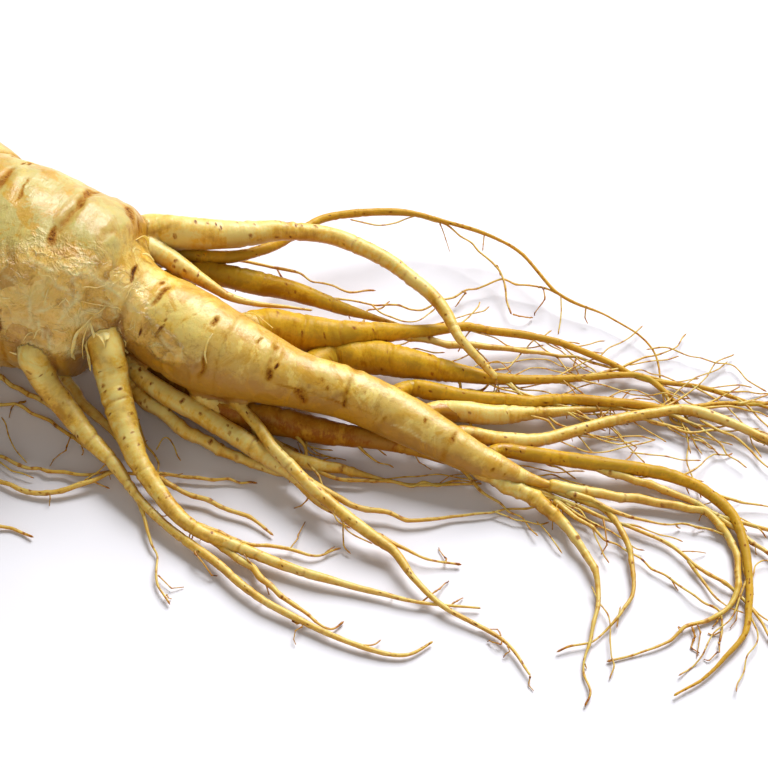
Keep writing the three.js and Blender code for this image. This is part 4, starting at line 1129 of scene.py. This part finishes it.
def upper(tree, place, swing):
    """The cosine of the turn from the root's top, made uneven by half the swing either way."""
    uneven = maths(tree, "MULTIPLY_ADD", cloud(tree, place, 260, 5, 0.65), swing, -0.5 * swing)
    return maths(tree, "ADD", layer(tree, "top"), uneven)


def painted_highlight(tree, place, low, high, amount):
    """How much painted highlight a root's upper side gets, where the light falls, with an uneven edge: it
    runs from 0 to the amount while the cosine of the turn from the top runs from low to high."""
    return maths(tree, "MULTIPLY", band(tree, upper(tree, place, 1.1), low, high), amount)


def facets(tree, place, size):
    """Loose film stuck down in flat, smooth pieces about size mm across: a value for each piece, and thin
    broken rims between them."""
    sway = add(tree, "ShaderNodeTexNoise", Vector=place, Scale=300.0, Detail=2.0)
    warped = add(tree, "ShaderNodeVectorMath", {"operation": "MULTIPLY_ADD"})
    tree.links.new(sway.outputs["Color"], warped.inputs[0])
    warped.inputs[1].default_value = (4 * MM, 4 * MM, 4 * MM)
    tree.links.new(place, warped.inputs[2])
    spots = {"Vector": warped.outputs[0], "Scale": 1000 / size}
    cells = add(tree, "ShaderNodeTexVoronoi", **spots)
    edges = add(tree, "ShaderNodeTexVoronoi", {"feature": "DISTANCE_TO_EDGE"}, **spots)
    pick = add(tree, "ShaderNodeSeparateColor", Color=cells.outputs["Color"])
    rim = maths(tree, "SUBTRACT", 1.0, band(tree, edges.outputs["Distance"], 0.005, 0.045))
    shown = band(tree, cloud(tree, place, 180, 3), 0.48, 0.6)
    return pick.outputs["Red"], maths(tree, "MULTIPLY", rim, shown)


def body_tones(tree, colours, place, straight, painted_shade_below):
    """The body's colour: gold where it is thin, painted shade on its lower side, a painted highlight on its
    top, stains, bands that run round it, and veins. Also its specks and streaks."""
    thin = layer(tree, "thin")
    tones = (colours.ochre, colours.skin, colours.straw)
    colour, specks, streaks = skin_tones(tree, tones, place, straight, patch_size=15)
    colour = tinted(tree, colour, thin, 0.8, colours.gold)
    # Painted shade on the lower side, stronger where the root is thin.
    belly_shade = maths(tree, "MULTIPLY", painted_shade_below, maths(tree, "ADD", thin, 0.75))
    colour = blended(tree, maths(tree, "MINIMUM", belly_shade, 0.8), colour, colours.belly_shade)
    # Painted highlight on the top where the light falls: cream on the body, straw on the tap root.
    narrow = painted_highlight(tree, place, low=0.7, high=1.05, amount=0.9)
    wide = painted_highlight(tree, place, low=0.4, high=0.95, amount=0.9)
    slender = band(tree, thin, 0.05, 0.35)
    highlight_share = maths(tree, "MULTIPLY_ADD", slender, maths(tree, "SUBTRACT", narrow, wide), wide)
    painted_top = maths(tree, "MULTIPLY", highlight_share, maths(tree, "SUBTRACT", 1.0, layer(tree, "side")))
    colour = blended(tree, painted_top, colour, blended(tree, slender, colours.highlight_cream, colours.straw))
    stains = band(tree, cloud(tree, straight, 0.15, 7, 0.7, 0.9), 0.5, 0.58)
    colour = tinted(tree, colour, stains, 0.7, colours.stain)
    rings = stretched(tree, straight, (0.12, 0.07, 0.07))
    bands = band(tree, cloud(tree, rings, 1.0, 5, 0.6, 1.2), 0.51, 0.54)
    colour = tinted(tree, colour, bands, 0.4, colours.ochre)
    lines = veins(tree, straight, scale=0.3, width=0.03)
    return tinted(tree, colour, lines, 0.25, colours.brown), specks, streaks


def torn_tones(tree, colours, place, straight):
    """The torn skin: how much of it there is, its colour, which is bruised in places and pale on its folds
    and rims, and its height."""
    swirl = cloud(tree, place, 200, 5, 0.65, 0.8)
    facet, rim = facets(tree, place, size=6)
    along = add(tree, "ShaderNodeSeparateXYZ", Vector=straight).outputs["X"]
    tone = maths(tree, "MULTIPLY_ADD", facet, 0.3, maths(tree, "SUBTRACT", swirl, 0.18))
    tone = maths(tree, "MULTIPLY_ADD", band(tree, along, 62.0, 73.0), 0.06, tone)
    bare = ramp(tree, tone, [(0.38, colours.bruise), (0.52, colours.torn), (0.7, colours.film)])
    drawn_out = stretched(tree, straight, (0.5, 1.5, 1.5))
    long_folds = veins(tree, drawn_out, scale=0.2, width=0.016, shift=0.03)
    folds = maths(tree, "MAXIMUM", long_folds, maths(tree, "MULTIPLY", rim, 0.6))
    bare = tinted(tree, bare, folds, 0.4, colours.pale)
    patch = band(tree, maths(tree, "MULTIPLY_ADD", swirl, 0.8, layer(tree, "torn")), 0.5, 1.05)
    height = maths(tree, "MULTIPLY", patch, maths(tree, "MULTIPLY_ADD", folds, 0.4, tone))
    return patch, bare, height


def base_tones(tree, colours, place, straight):
    """The colour of the side roots' bases, which is golden where the side root is."""
    pale, golden = (
        root_skin(tree, colours, root_tones(colours, kind), colours.twig, place, straight, highlight_amount)[0]
        for kind, highlight_amount in (("pale", 0.7), ("golden", 0.5))
    )
    return blended(tree, layer(tree, "golden"), pale, golden)


def body_material(colours):
    """The body's skin, from the bottom up: its colour with painted light and shade, the torn patches,
    painted shade on the belly, folds of film, the side roots' bases, painted shade in the creases, and
    scars. Torn skin is glossier than the rest, and scars are duller."""
    material, tree, shader, place = new_material("body_skin")
    straight = layer(tree, "straight", "Vector")
    scar = layer(tree, "scar")
    # Painted shade: 1 on the lower side, away from the light, and 0 on the top.
    painted_shade_below = band(tree, upper(tree, place, 1.2), 0.88, 0.0)
    colour, specks, streaks = body_tones(tree, colours, place, straight, painted_shade_below)
    patch, bare, torn_height = torn_tones(tree, colours, place, straight)
    colour = tinted(tree, colour, patch, 0.85, bare)
    # More painted shade on the lower side, over the torn patches too.
    colour = tinted(tree, colour, painted_shade_below, 0.25, colours.belly_shade)
    colour = tinted(tree, colour, layer(tree, "film"), 0.75, colours.pale)
    colour = blended(tree, layer(tree, "side"), colour, base_tones(tree, colours, place, straight))
    # Painted shade in the creases between roots.
    colour = tinted(tree, colour, layer(tree, "crease_shade"), 0.85, colours.crevice_shade)
    colour, level = scarred(tree, colour, scar, place, colours)
    crinkles = maths(tree, "MULTIPLY", patch, cloud(tree, place, 380, 6, 0.6, 1.6))
    normal = bumped(tree, cloud(tree, place, 1500, 5, 0.65), 0.08)
    for height, depth in ((streaks, 0.08), (crinkles, 0.8), (torn_height, 0.4), (level, -0.1)):
        normal = bumped(tree, height, depth, normal)
    rough = maths(tree, "MULTIPLY_ADD", patch, -0.1, spread(tree, specks, 0.22, 0.46))
    rough = maths(tree, "MULTIPLY_ADD", band(tree, level, 0, 0.6), 0.3, rough)
    dull = maths(tree, "MULTIPLY_ADD", band(tree, scar, 0.05, 0.4), -0.3, 0.4)
    gloss = maths(tree, "MULTIPLY_ADD", patch, 0.25, dull)
    waxy(tree, shader, gloss, Base_Color=colour, Normal=normal, Roughness=rough)
    return material


def waxy(tree, shader, gloss, **surface):
    """Fills in the shader for moist flesh, which light enters a little way and leaves yellower."""
    flesh = {"Subsurface_Weight": 0.3, "Subsurface_Radius": (1.0, 0.55, 0.18), "Subsurface_Scale": 1.6 * MM}
    fill_in(tree, shader, **surface, **flesh, Specular_IOR_Level=gloss)


def root_tones(colours, kind):
    """The deep, middle and palest tones of a kind of side root."""
    return {
        "pale": (colours.ochre, colours.gold, colours.straw),
        "golden": (colours.orange, colours.honey, colours.flax),
        # The brown kind's deep tones are partly painted shade under the tap root.
        "brown": (colours.bark, colours.brown, colours.ochre),
    }[kind]


def root_skin(tree, colours, tones, thin_tone, place, straight, highlight_amount):
    """A side root's colour, which turns to thin_tone where the root is thin, to amber as painted shade on
    its lower side, and to the palest of its tones as a painted highlight on its upper side. Also its specks
    and streaks."""
    colour, specks, streaks = skin_tones(tree, tones, place, straight, patch_size=9)
    fade = maths(tree, "SUBTRACT", 0.7, layer(tree, "side"))
    thinness = maths(tree, "MULTIPLY", layer(tree, "thin"), fade)
    colour = blended(tree, maths(tree, "MAXIMUM", thinness, 0.0), colour, thin_tone)
    # Painted shade: amber on the lower side. Painted highlight: the palest tone on the upper side.
    colour = tinted(tree, colour, band(tree, layer(tree, "top"), 0.7, -0.2), 0.6, colours.amber_shade)
    return blended(tree, painted_highlight(tree, place, 0.7, 1.15, highlight_amount), colour, tones[-1]), specks, streaks


def side_root_material(name, colours, tones, thin_tone, relief, highlight_amount=0.5, gloss=0.3):
    """The skin of the side roots, rootlets and twigs, its fine bumps as high as the relief says."""
    material, tree, shader, place = new_material(name)
    straight = layer(tree, "straight", "Vector")
    colour, specks, streaks = root_skin(tree, colours, tones, thin_tone, place, straight, highlight_amount)
    colour, level = scarred(tree, colour, layer(tree, "scar"), place, colours)
    depth = 0.06 * relief
    fine = bumped(tree, cloud(tree, place, 1900, 3, 0.6), depth)
    normal = bumped(tree, level, -depth, bumped(tree, streaks, depth, fine))
    waxy(tree, shader, gloss, Base_Color=colour, Normal=normal, Roughness=spread(tree, specks, 0.26, 0.5))
    return material


def torn_material(colours):
    """Loose film, in fibres from dark to pale."""
    material, tree, shader, place = new_material("torn_skin")
    fibres = cloud(tree, place, 700, 5, 0.7, 1.0)
    colour = ramp(tree, fibres, [(0.3, colours.torn), (0.5, colours.film), (0.68, colours.pale)])
    normal, rough = bumped(tree, fibres, 0.12), spread(tree, fibres, 0.4, 0.62)
    waxy(tree, shader, 0.28, Base_Color=colour, Normal=normal, Roughness=rough)
    return material


def table_material(colours):
    """The pale, dull table top, with a faint cloud in its tone."""
    material, tree, shader, place = new_material("table_top")
    grain = cloud(tree, place, 40, 4)
    tone = ramp(tree, grain, [(0.3, [0.97 * c for c in colours.table]), (0.7, list(colours.table))])
    fill_in(tree, shader, Base_Color=tone, Roughness=spread(tree, grain, 0.7, 0.8))
    return material


def colour_property(name, description, *screen):
    """A colour setting, given as a screen colour's red, green and blue."""
    return FloatVectorProperty(
        name=name, description=description, default=linear(*screen), size=3, subtype="COLOR", min=0, max=1
    )


def length_property(name, description, millimetres):
    """A length setting, given in mm."""
    return FloatProperty(name=name, description=description, default=millimetres * MM, unit="LENGTH")


def number_property(name, description, default, least=0):
    """A setting that is a whole number."""
    return IntProperty(name=name, description=description, default=default, min=least)


class GinsengSizes(bpy.types.PropertyGroup):
    """How fine the meshes are, and how many strands, twigs and shreds there are"""

    skin_grain: length_property("Skin grain", "Length of the faces of the body's skin", 0.465)
    side_root_step: length_property("Side root step", "Length of the side roots' faces", 0.28)
    side_root_sides: number_property("Side root sides", "Faces round a side root", 26, 6)
    rootlet_step: length_property("Rootlet step", "Length of the rootlets' faces", 0.4)
    rootlet_sides: number_property("Rootlet sides", "Faces round a rootlet", 12, 5)
    strand_count: number_property("Strands", "Thin roots along the side roots", 84)
    twig_count: number_property("Twigs", "Hair-fine twigs on the thin roots", 116)
    twig_length: length_property("Twig length", "Length of the longest of these twigs", 8)
    shred_count: number_property("Shreds", "Strips of torn skin on the body", 30, 1)


class GinsengColours(bpy.types.PropertyGroup):
    """The colours of the root and of the table"""

    # Cream is painted on the body's top as a highlight.
    highlight_cream: colour_property("Cream", "The palest skin of the body", 192, 177, 106)
    skin: colour_property("Skin", "The body's middle tone", 244, 204, 86)
    ochre: colour_property("Ochre", "The body's deep patches", 194, 144, 44)
    # Amber is painted shade on the side roots' lower sides.
    amber_shade: colour_property("Amber", "The side roots' lower sides", 164, 98, 8)
    # Crevice is painted shade in the creases between roots.
    crevice_shade: colour_property("Crevice", "Folds and creases between the roots", 128, 72, 12)
    # Belly is painted shade on the lower side of the body and the tap root.
    belly_shade: colour_property("Belly", "The tap root's lower side", 156, 101, 14)
    torn: colour_property("Torn skin", "Where the thin skin has torn", 250, 204, 98)
    bruise: colour_property("Bruise", "The darkest of the torn skin", 202, 150, 58)
    film: colour_property("Film", "Loose films of skin", 250, 220, 136)
    pale: colour_property("Pale folds", "Raised folds of film", 240, 227, 164)
    stain: colour_property("Stain", "Golden stains on the body", 206, 152, 24)
    # Straw is the near side roots' palest tone, and is also painted on their tops as a highlight.
    straw: colour_property("Straw", "The near side roots, at their palest", 232, 212, 128)
    gold: colour_property("Gold", "The near side roots' middle tone", 230, 187, 72)
    honey: colour_property("Honey", "The golden side roots' middle tone", 218, 172, 40)
    orange: colour_property("Orange", "The golden side roots, at their deepest", 186, 132, 14)
    # Flax is the golden side roots' palest tone, and is also painted on their upper sides as a highlight.
    flax: colour_property("Flax", "The golden side roots' upper sides", 190, 150, 40)
    halo: colour_property("Halo", "The skin round a scar", 174, 120, 28)
    brown: colour_property("Scar brown", "Scars and ring marks", 148, 82, 6)
    dark: colour_property("Spot brown", "The darkest flecks", 76, 38, 6)
    twig: colour_property("Twig", "The thinnest roots", 199, 159, 66)
    bark: colour_property("Bark", "The hair-fine twigs and the brown roots", 170, 122, 48)
    table: colour_property("Table", "The table top", 238, 238, 247)


class GinsengStage(bpy.types.PropertyGroup):
    """The camera, the lights and the surroundings"""

    camera_tilt: FloatProperty(
        name="Camera height", description="Angle of the camera above the table", default=np.radians(50),
        subtype="ANGLE",
    )
    camera_distance: length_property("Camera distance", "From the camera to the middle of the view", 336)
    lens: FloatProperty(name="Lens", description="Focal length in mm on a 36 mm sensor", default=90)
    key_power: FloatProperty(name="Key light", description="Power of the soft light in watts", default=39)
    fill_power: FloatProperty(name="Fill light", description="Power of the near side's light", default=7.2)
    sky_strength: FloatProperty(name="Sky", description="Strength of the white surroundings", default=0.13)


# The middle of the camera's view, in mm.
VIEW_CENTRE = (69, -25, 10)
# The lights' places from there and their sizes, in metres.
KEY_PLACE, KEY_SIZE = (0.45, 1.05, 1.02), 0.85
FILL_PLACE, FILL_SIZE = (-0.1, -1.1, 0.6), 1.6
WHITE, WARM = (1, 1, 1), (1, 0.91, 0.74)
# Half the table's width, in metres.
TABLE_HALF = 4.0


def settings():
    """The sizes and the colours that the scene holds."""
    scene = bpy.context.scene
    return scene.ginseng_sizes, scene.ginseng_colours


class GINSENG_OT_body(bpy.types.Operator):
    """Makes the skin of the body, its neck, the tap root and the bases of the side roots"""

    bl_idname = "ginseng.body"
    bl_label = "Body"

    def execute(self, context):
        _, colours = settings()
        grow(skin_of_body(), body_material(colours))
        return {"FINISHED"}


class GINSENG_OT_side_roots(bpy.types.Operator):
    """Makes the thick side roots: the pale, the golden and the brown ones"""

    bl_idname = "ginseng.side_roots"
    bl_label = "Side roots"

    def execute(self, context):
        sizes, colours = settings()
        body = body_line()
        names = list(SIDE_ROOTS)
        step, sides = sizes.side_root_step / MM, sizes.side_root_sides
        pale = [name for name in names if name not in GOLDEN_ROOTS + SHADED_BROWN_ROOTS]
        shaded = [rootlet(route, 60 + n, 0.4, sides) for n, route in enumerate(SHADED_ROOTS)]
        # Each kind with its side roots, its other tubes, how much painted highlight its top gets, and its
        # gloss.
        kinds = (
            ("pale", pale, [], 0.7, 0.35),
            ("golden", GOLDEN_ROOTS, [], 0.5, 0.12),
            ("brown", SHADED_BROWN_ROOTS, shaded, 0.5, 0.12),
        )
        for kind, members, others, highlight_amount, gloss in kinds:
            tubes = [side_root(SIDE_ROOTS[name], names.index(name), step, sides, body) for name in members]
            piece = mesh_object(f"{kind}_side_roots", *joined(tubes + others))
            name, tones = f"{kind}_root_skin", root_tones(colours, kind)
            material = side_root_material(name, colours, tones, colours.twig, 1, highlight_amount, gloss)
            grow(piece, material)
        return {"FINISHED"}


class GINSENG_OT_rootlets(bpy.types.Operator):
    """Makes the rootlets that grow out of the side roots and of the tap root's tip"""

    bl_idname = "ginseng.rootlets"
    bl_label = "Rootlets"

    def execute(self, context):
        sizes, colours = settings()
        rng = np.random.default_rng(STRAND_SEED)
        hosts = GOLDEN_ROOTS[2:] + ["straight_front", "wavy_right", "tip_long"]
        routes = [*ROOTLETS.values(), *TWIGS, *strands(rng, sizes.strand_count, hosts, least_x=74)]
        routes += [*strands(rng, sizes.strand_count // 2, ["under_tap", "far_low"], least_x=42)]
        step, sides = sizes.rootlet_step / MM, sizes.rootlet_sides
        tubes = [rootlet(route, index, step, sides) for index, route in enumerate(routes)]
        tones = root_tones(colours, "pale")
        material = side_root_material("rootlet_skin", colours, tones, colours.twig, relief=0.6)
        grow(mesh_object("rootlets", *joined(tubes)), material)
        return {"FINISHED"}


class GINSENG_OT_twigs(bpy.types.Operator):
    """Makes the hair-fine twigs along the thin roots"""

    bl_idname = "ginseng.twigs"
    bl_label = "Twigs"

    def execute(self, context):
        sizes, colours = settings()
        piece = twigs(np.random.default_rng(TWIG_SEED), sizes.twig_count, sizes.twig_length / MM)
        tones = (colours.twig, colours.gold, colours.straw)
        grow(piece, side_root_material("twig_skin", colours, tones, colours.bark, relief=0.3))
        return {"FINISHED"}


class GINSENG_OT_torn_skin(bpy.types.Operator):
    """Makes the torn rims round the side roots' bases, and the shreds and flaps of skin on the body"""

    bl_idname = "ginseng.torn_skin"
    bl_label = "Torn skin"

    def execute(self, context):
        sizes, colours = settings()
        body = body_line()
        material = torn_material(colours)
        sleeves = [
            sleeve(SIDE_ROOTS[name], rim, body, seed) for seed, (name, rim) in enumerate(COLLARS.items())
        ]
        rims = mesh_object("torn_rims", *joined(sleeves))
        wall = rims.modifiers.new("skin thickness", "SOLIDIFY")
        wall.thickness = 0.14 * MM
        wall.offset = 0
        grow(rims, material)
        rng = np.random.default_rng(SHRED_SEED)
        loose = [shreds(body, rng, sizes.shred_count, length=4, half_width=0.14, spread=0.8)]
        loose += [flap(*spec, body) for spec in FLAPS]
        grow(mesh_object("skin_shreds", *joined([(*piece, {}) for piece in loose])), material)
        return {"FINISHED"}


class GINSENG_OT_stage(bpy.types.Operator):
    """Makes the table, the two soft lights, the white surroundings and the camera"""

    bl_idname = "ginseng.stage"
    bl_label = "Stage"

    def execute(self, context):
        scene = context.scene
        stage = scene.ginseng_stage
        corners = np.array([(-1, -1, 0), (1, -1, 0), (1, 1, 0), (-1, 1, 0)]) * TABLE_HALF / MM
        table = mesh_object("table", corners, [np.array([[0, 1, 2, 3]])], {})
        table.data.materials.append(table_material(scene.ginseng_colours))
        centre = Vector(VIEW_CENTRE) * MM
        soft_light("key_light", stage.key_power, WHITE, KEY_SIZE, centre, KEY_PLACE)
        soft_light("fill_light", stage.fill_power, WARM, FILL_SIZE, centre, FILL_PLACE)
        scene.world = bpy.data.worlds.new("surroundings")
        scene.world.use_nodes = True
        background = scene.world.node_tree.nodes["Background"]
        background.inputs["Color"].default_value = (*WHITE, 1)
        background.inputs["Strength"].default_value = stage.sky_strength
        lens = bpy.data.cameras.new("camera")
        lens.lens = stage.lens
        lens.clip_start, lens.clip_end = 0.01, 20
        tilt = stage.camera_tilt
        back = Vector((0, -np.cos(tilt), np.sin(tilt))) * stage.camera_distance
        scene.camera = aim(link("camera", lens), centre, centre + back)
        scene.view_settings.view_transform = "Standard"
        return {"FINISHED"}


def link(name, data):
    """A new object in the scene for the light or camera."""
    made = bpy.data.objects.new(name, data)
    bpy.context.scene.collection.objects.link(made)
    return made


def aim(made, target, place):
    """Puts a light or camera at its place, turned towards its target."""
    made.location = place
    made.rotation_euler = (target - place).to_track_quat("-Z", "Y").to_euler()
    return made


def soft_light(name, power, colour, size, target, offset):
    """A square light of the given power in watts, at its offset from the target in metres."""
    light = bpy.data.lights.new(name, "AREA")
    light.energy, light.color, light.size = power, colour, size
    aim(link(name, light), target, target + Vector(offset))


MAKERS = (
    GINSENG_OT_body, GINSENG_OT_side_roots, GINSENG_OT_rootlets, GINSENG_OT_twigs, GINSENG_OT_torn_skin,
    GINSENG_OT_stage,
)


class GINSENG_PT_panel(bpy.types.Panel):
    """Lists the steps and their sizes and colours"""

    bl_idname = "GINSENG_PT_panel"
    bl_label = "Ginseng Root"
    bl_space_type = "VIEW_3D"
    bl_region_type = "UI"
    bl_category = "Ginseng"

    def draw(self, context):
        for maker in MAKERS:
            self.layout.operator(maker.bl_idname)
        for group in (*settings(), context.scene.ginseng_stage):
            box = self.layout.box()
            for name in group.bl_rna.properties.keys():
                if name not in ("rna_type", "name"):
                    box.prop(group, name)


CLASSES = (GinsengSizes, GinsengColours, GinsengStage, *MAKERS, GINSENG_PT_panel)


def register():
    """Adds the settings, the operators and the panel."""
    for cls in CLASSES:
        bpy.utils.register_class(cls)
    bpy.types.Scene.ginseng_sizes = PointerProperty(type=GinsengSizes)
    bpy.types.Scene.ginseng_colours = PointerProperty(type=GinsengColours)
    bpy.types.Scene.ginseng_stage = PointerProperty(type=GinsengStage)


def unregister():
    """Takes them away again."""
    del bpy.types.Scene.ginseng_stage
    del bpy.types.Scene.ginseng_colours
    del bpy.types.Scene.ginseng_sizes
    for cls in reversed(CLASSES):
        bpy.utils.unregister_class(cls)


def main():
    """Makes every piece and the stage."""
    register()
    bpy.ops.ginseng.body()
    bpy.ops.ginseng.side_roots()
    bpy.ops.ginseng.rootlets()
    bpy.ops.ginseng.twigs()
    bpy.ops.ginseng.torn_skin()
    bpy.ops.ginseng.stage()


if __name__ == "__main__":
    main()
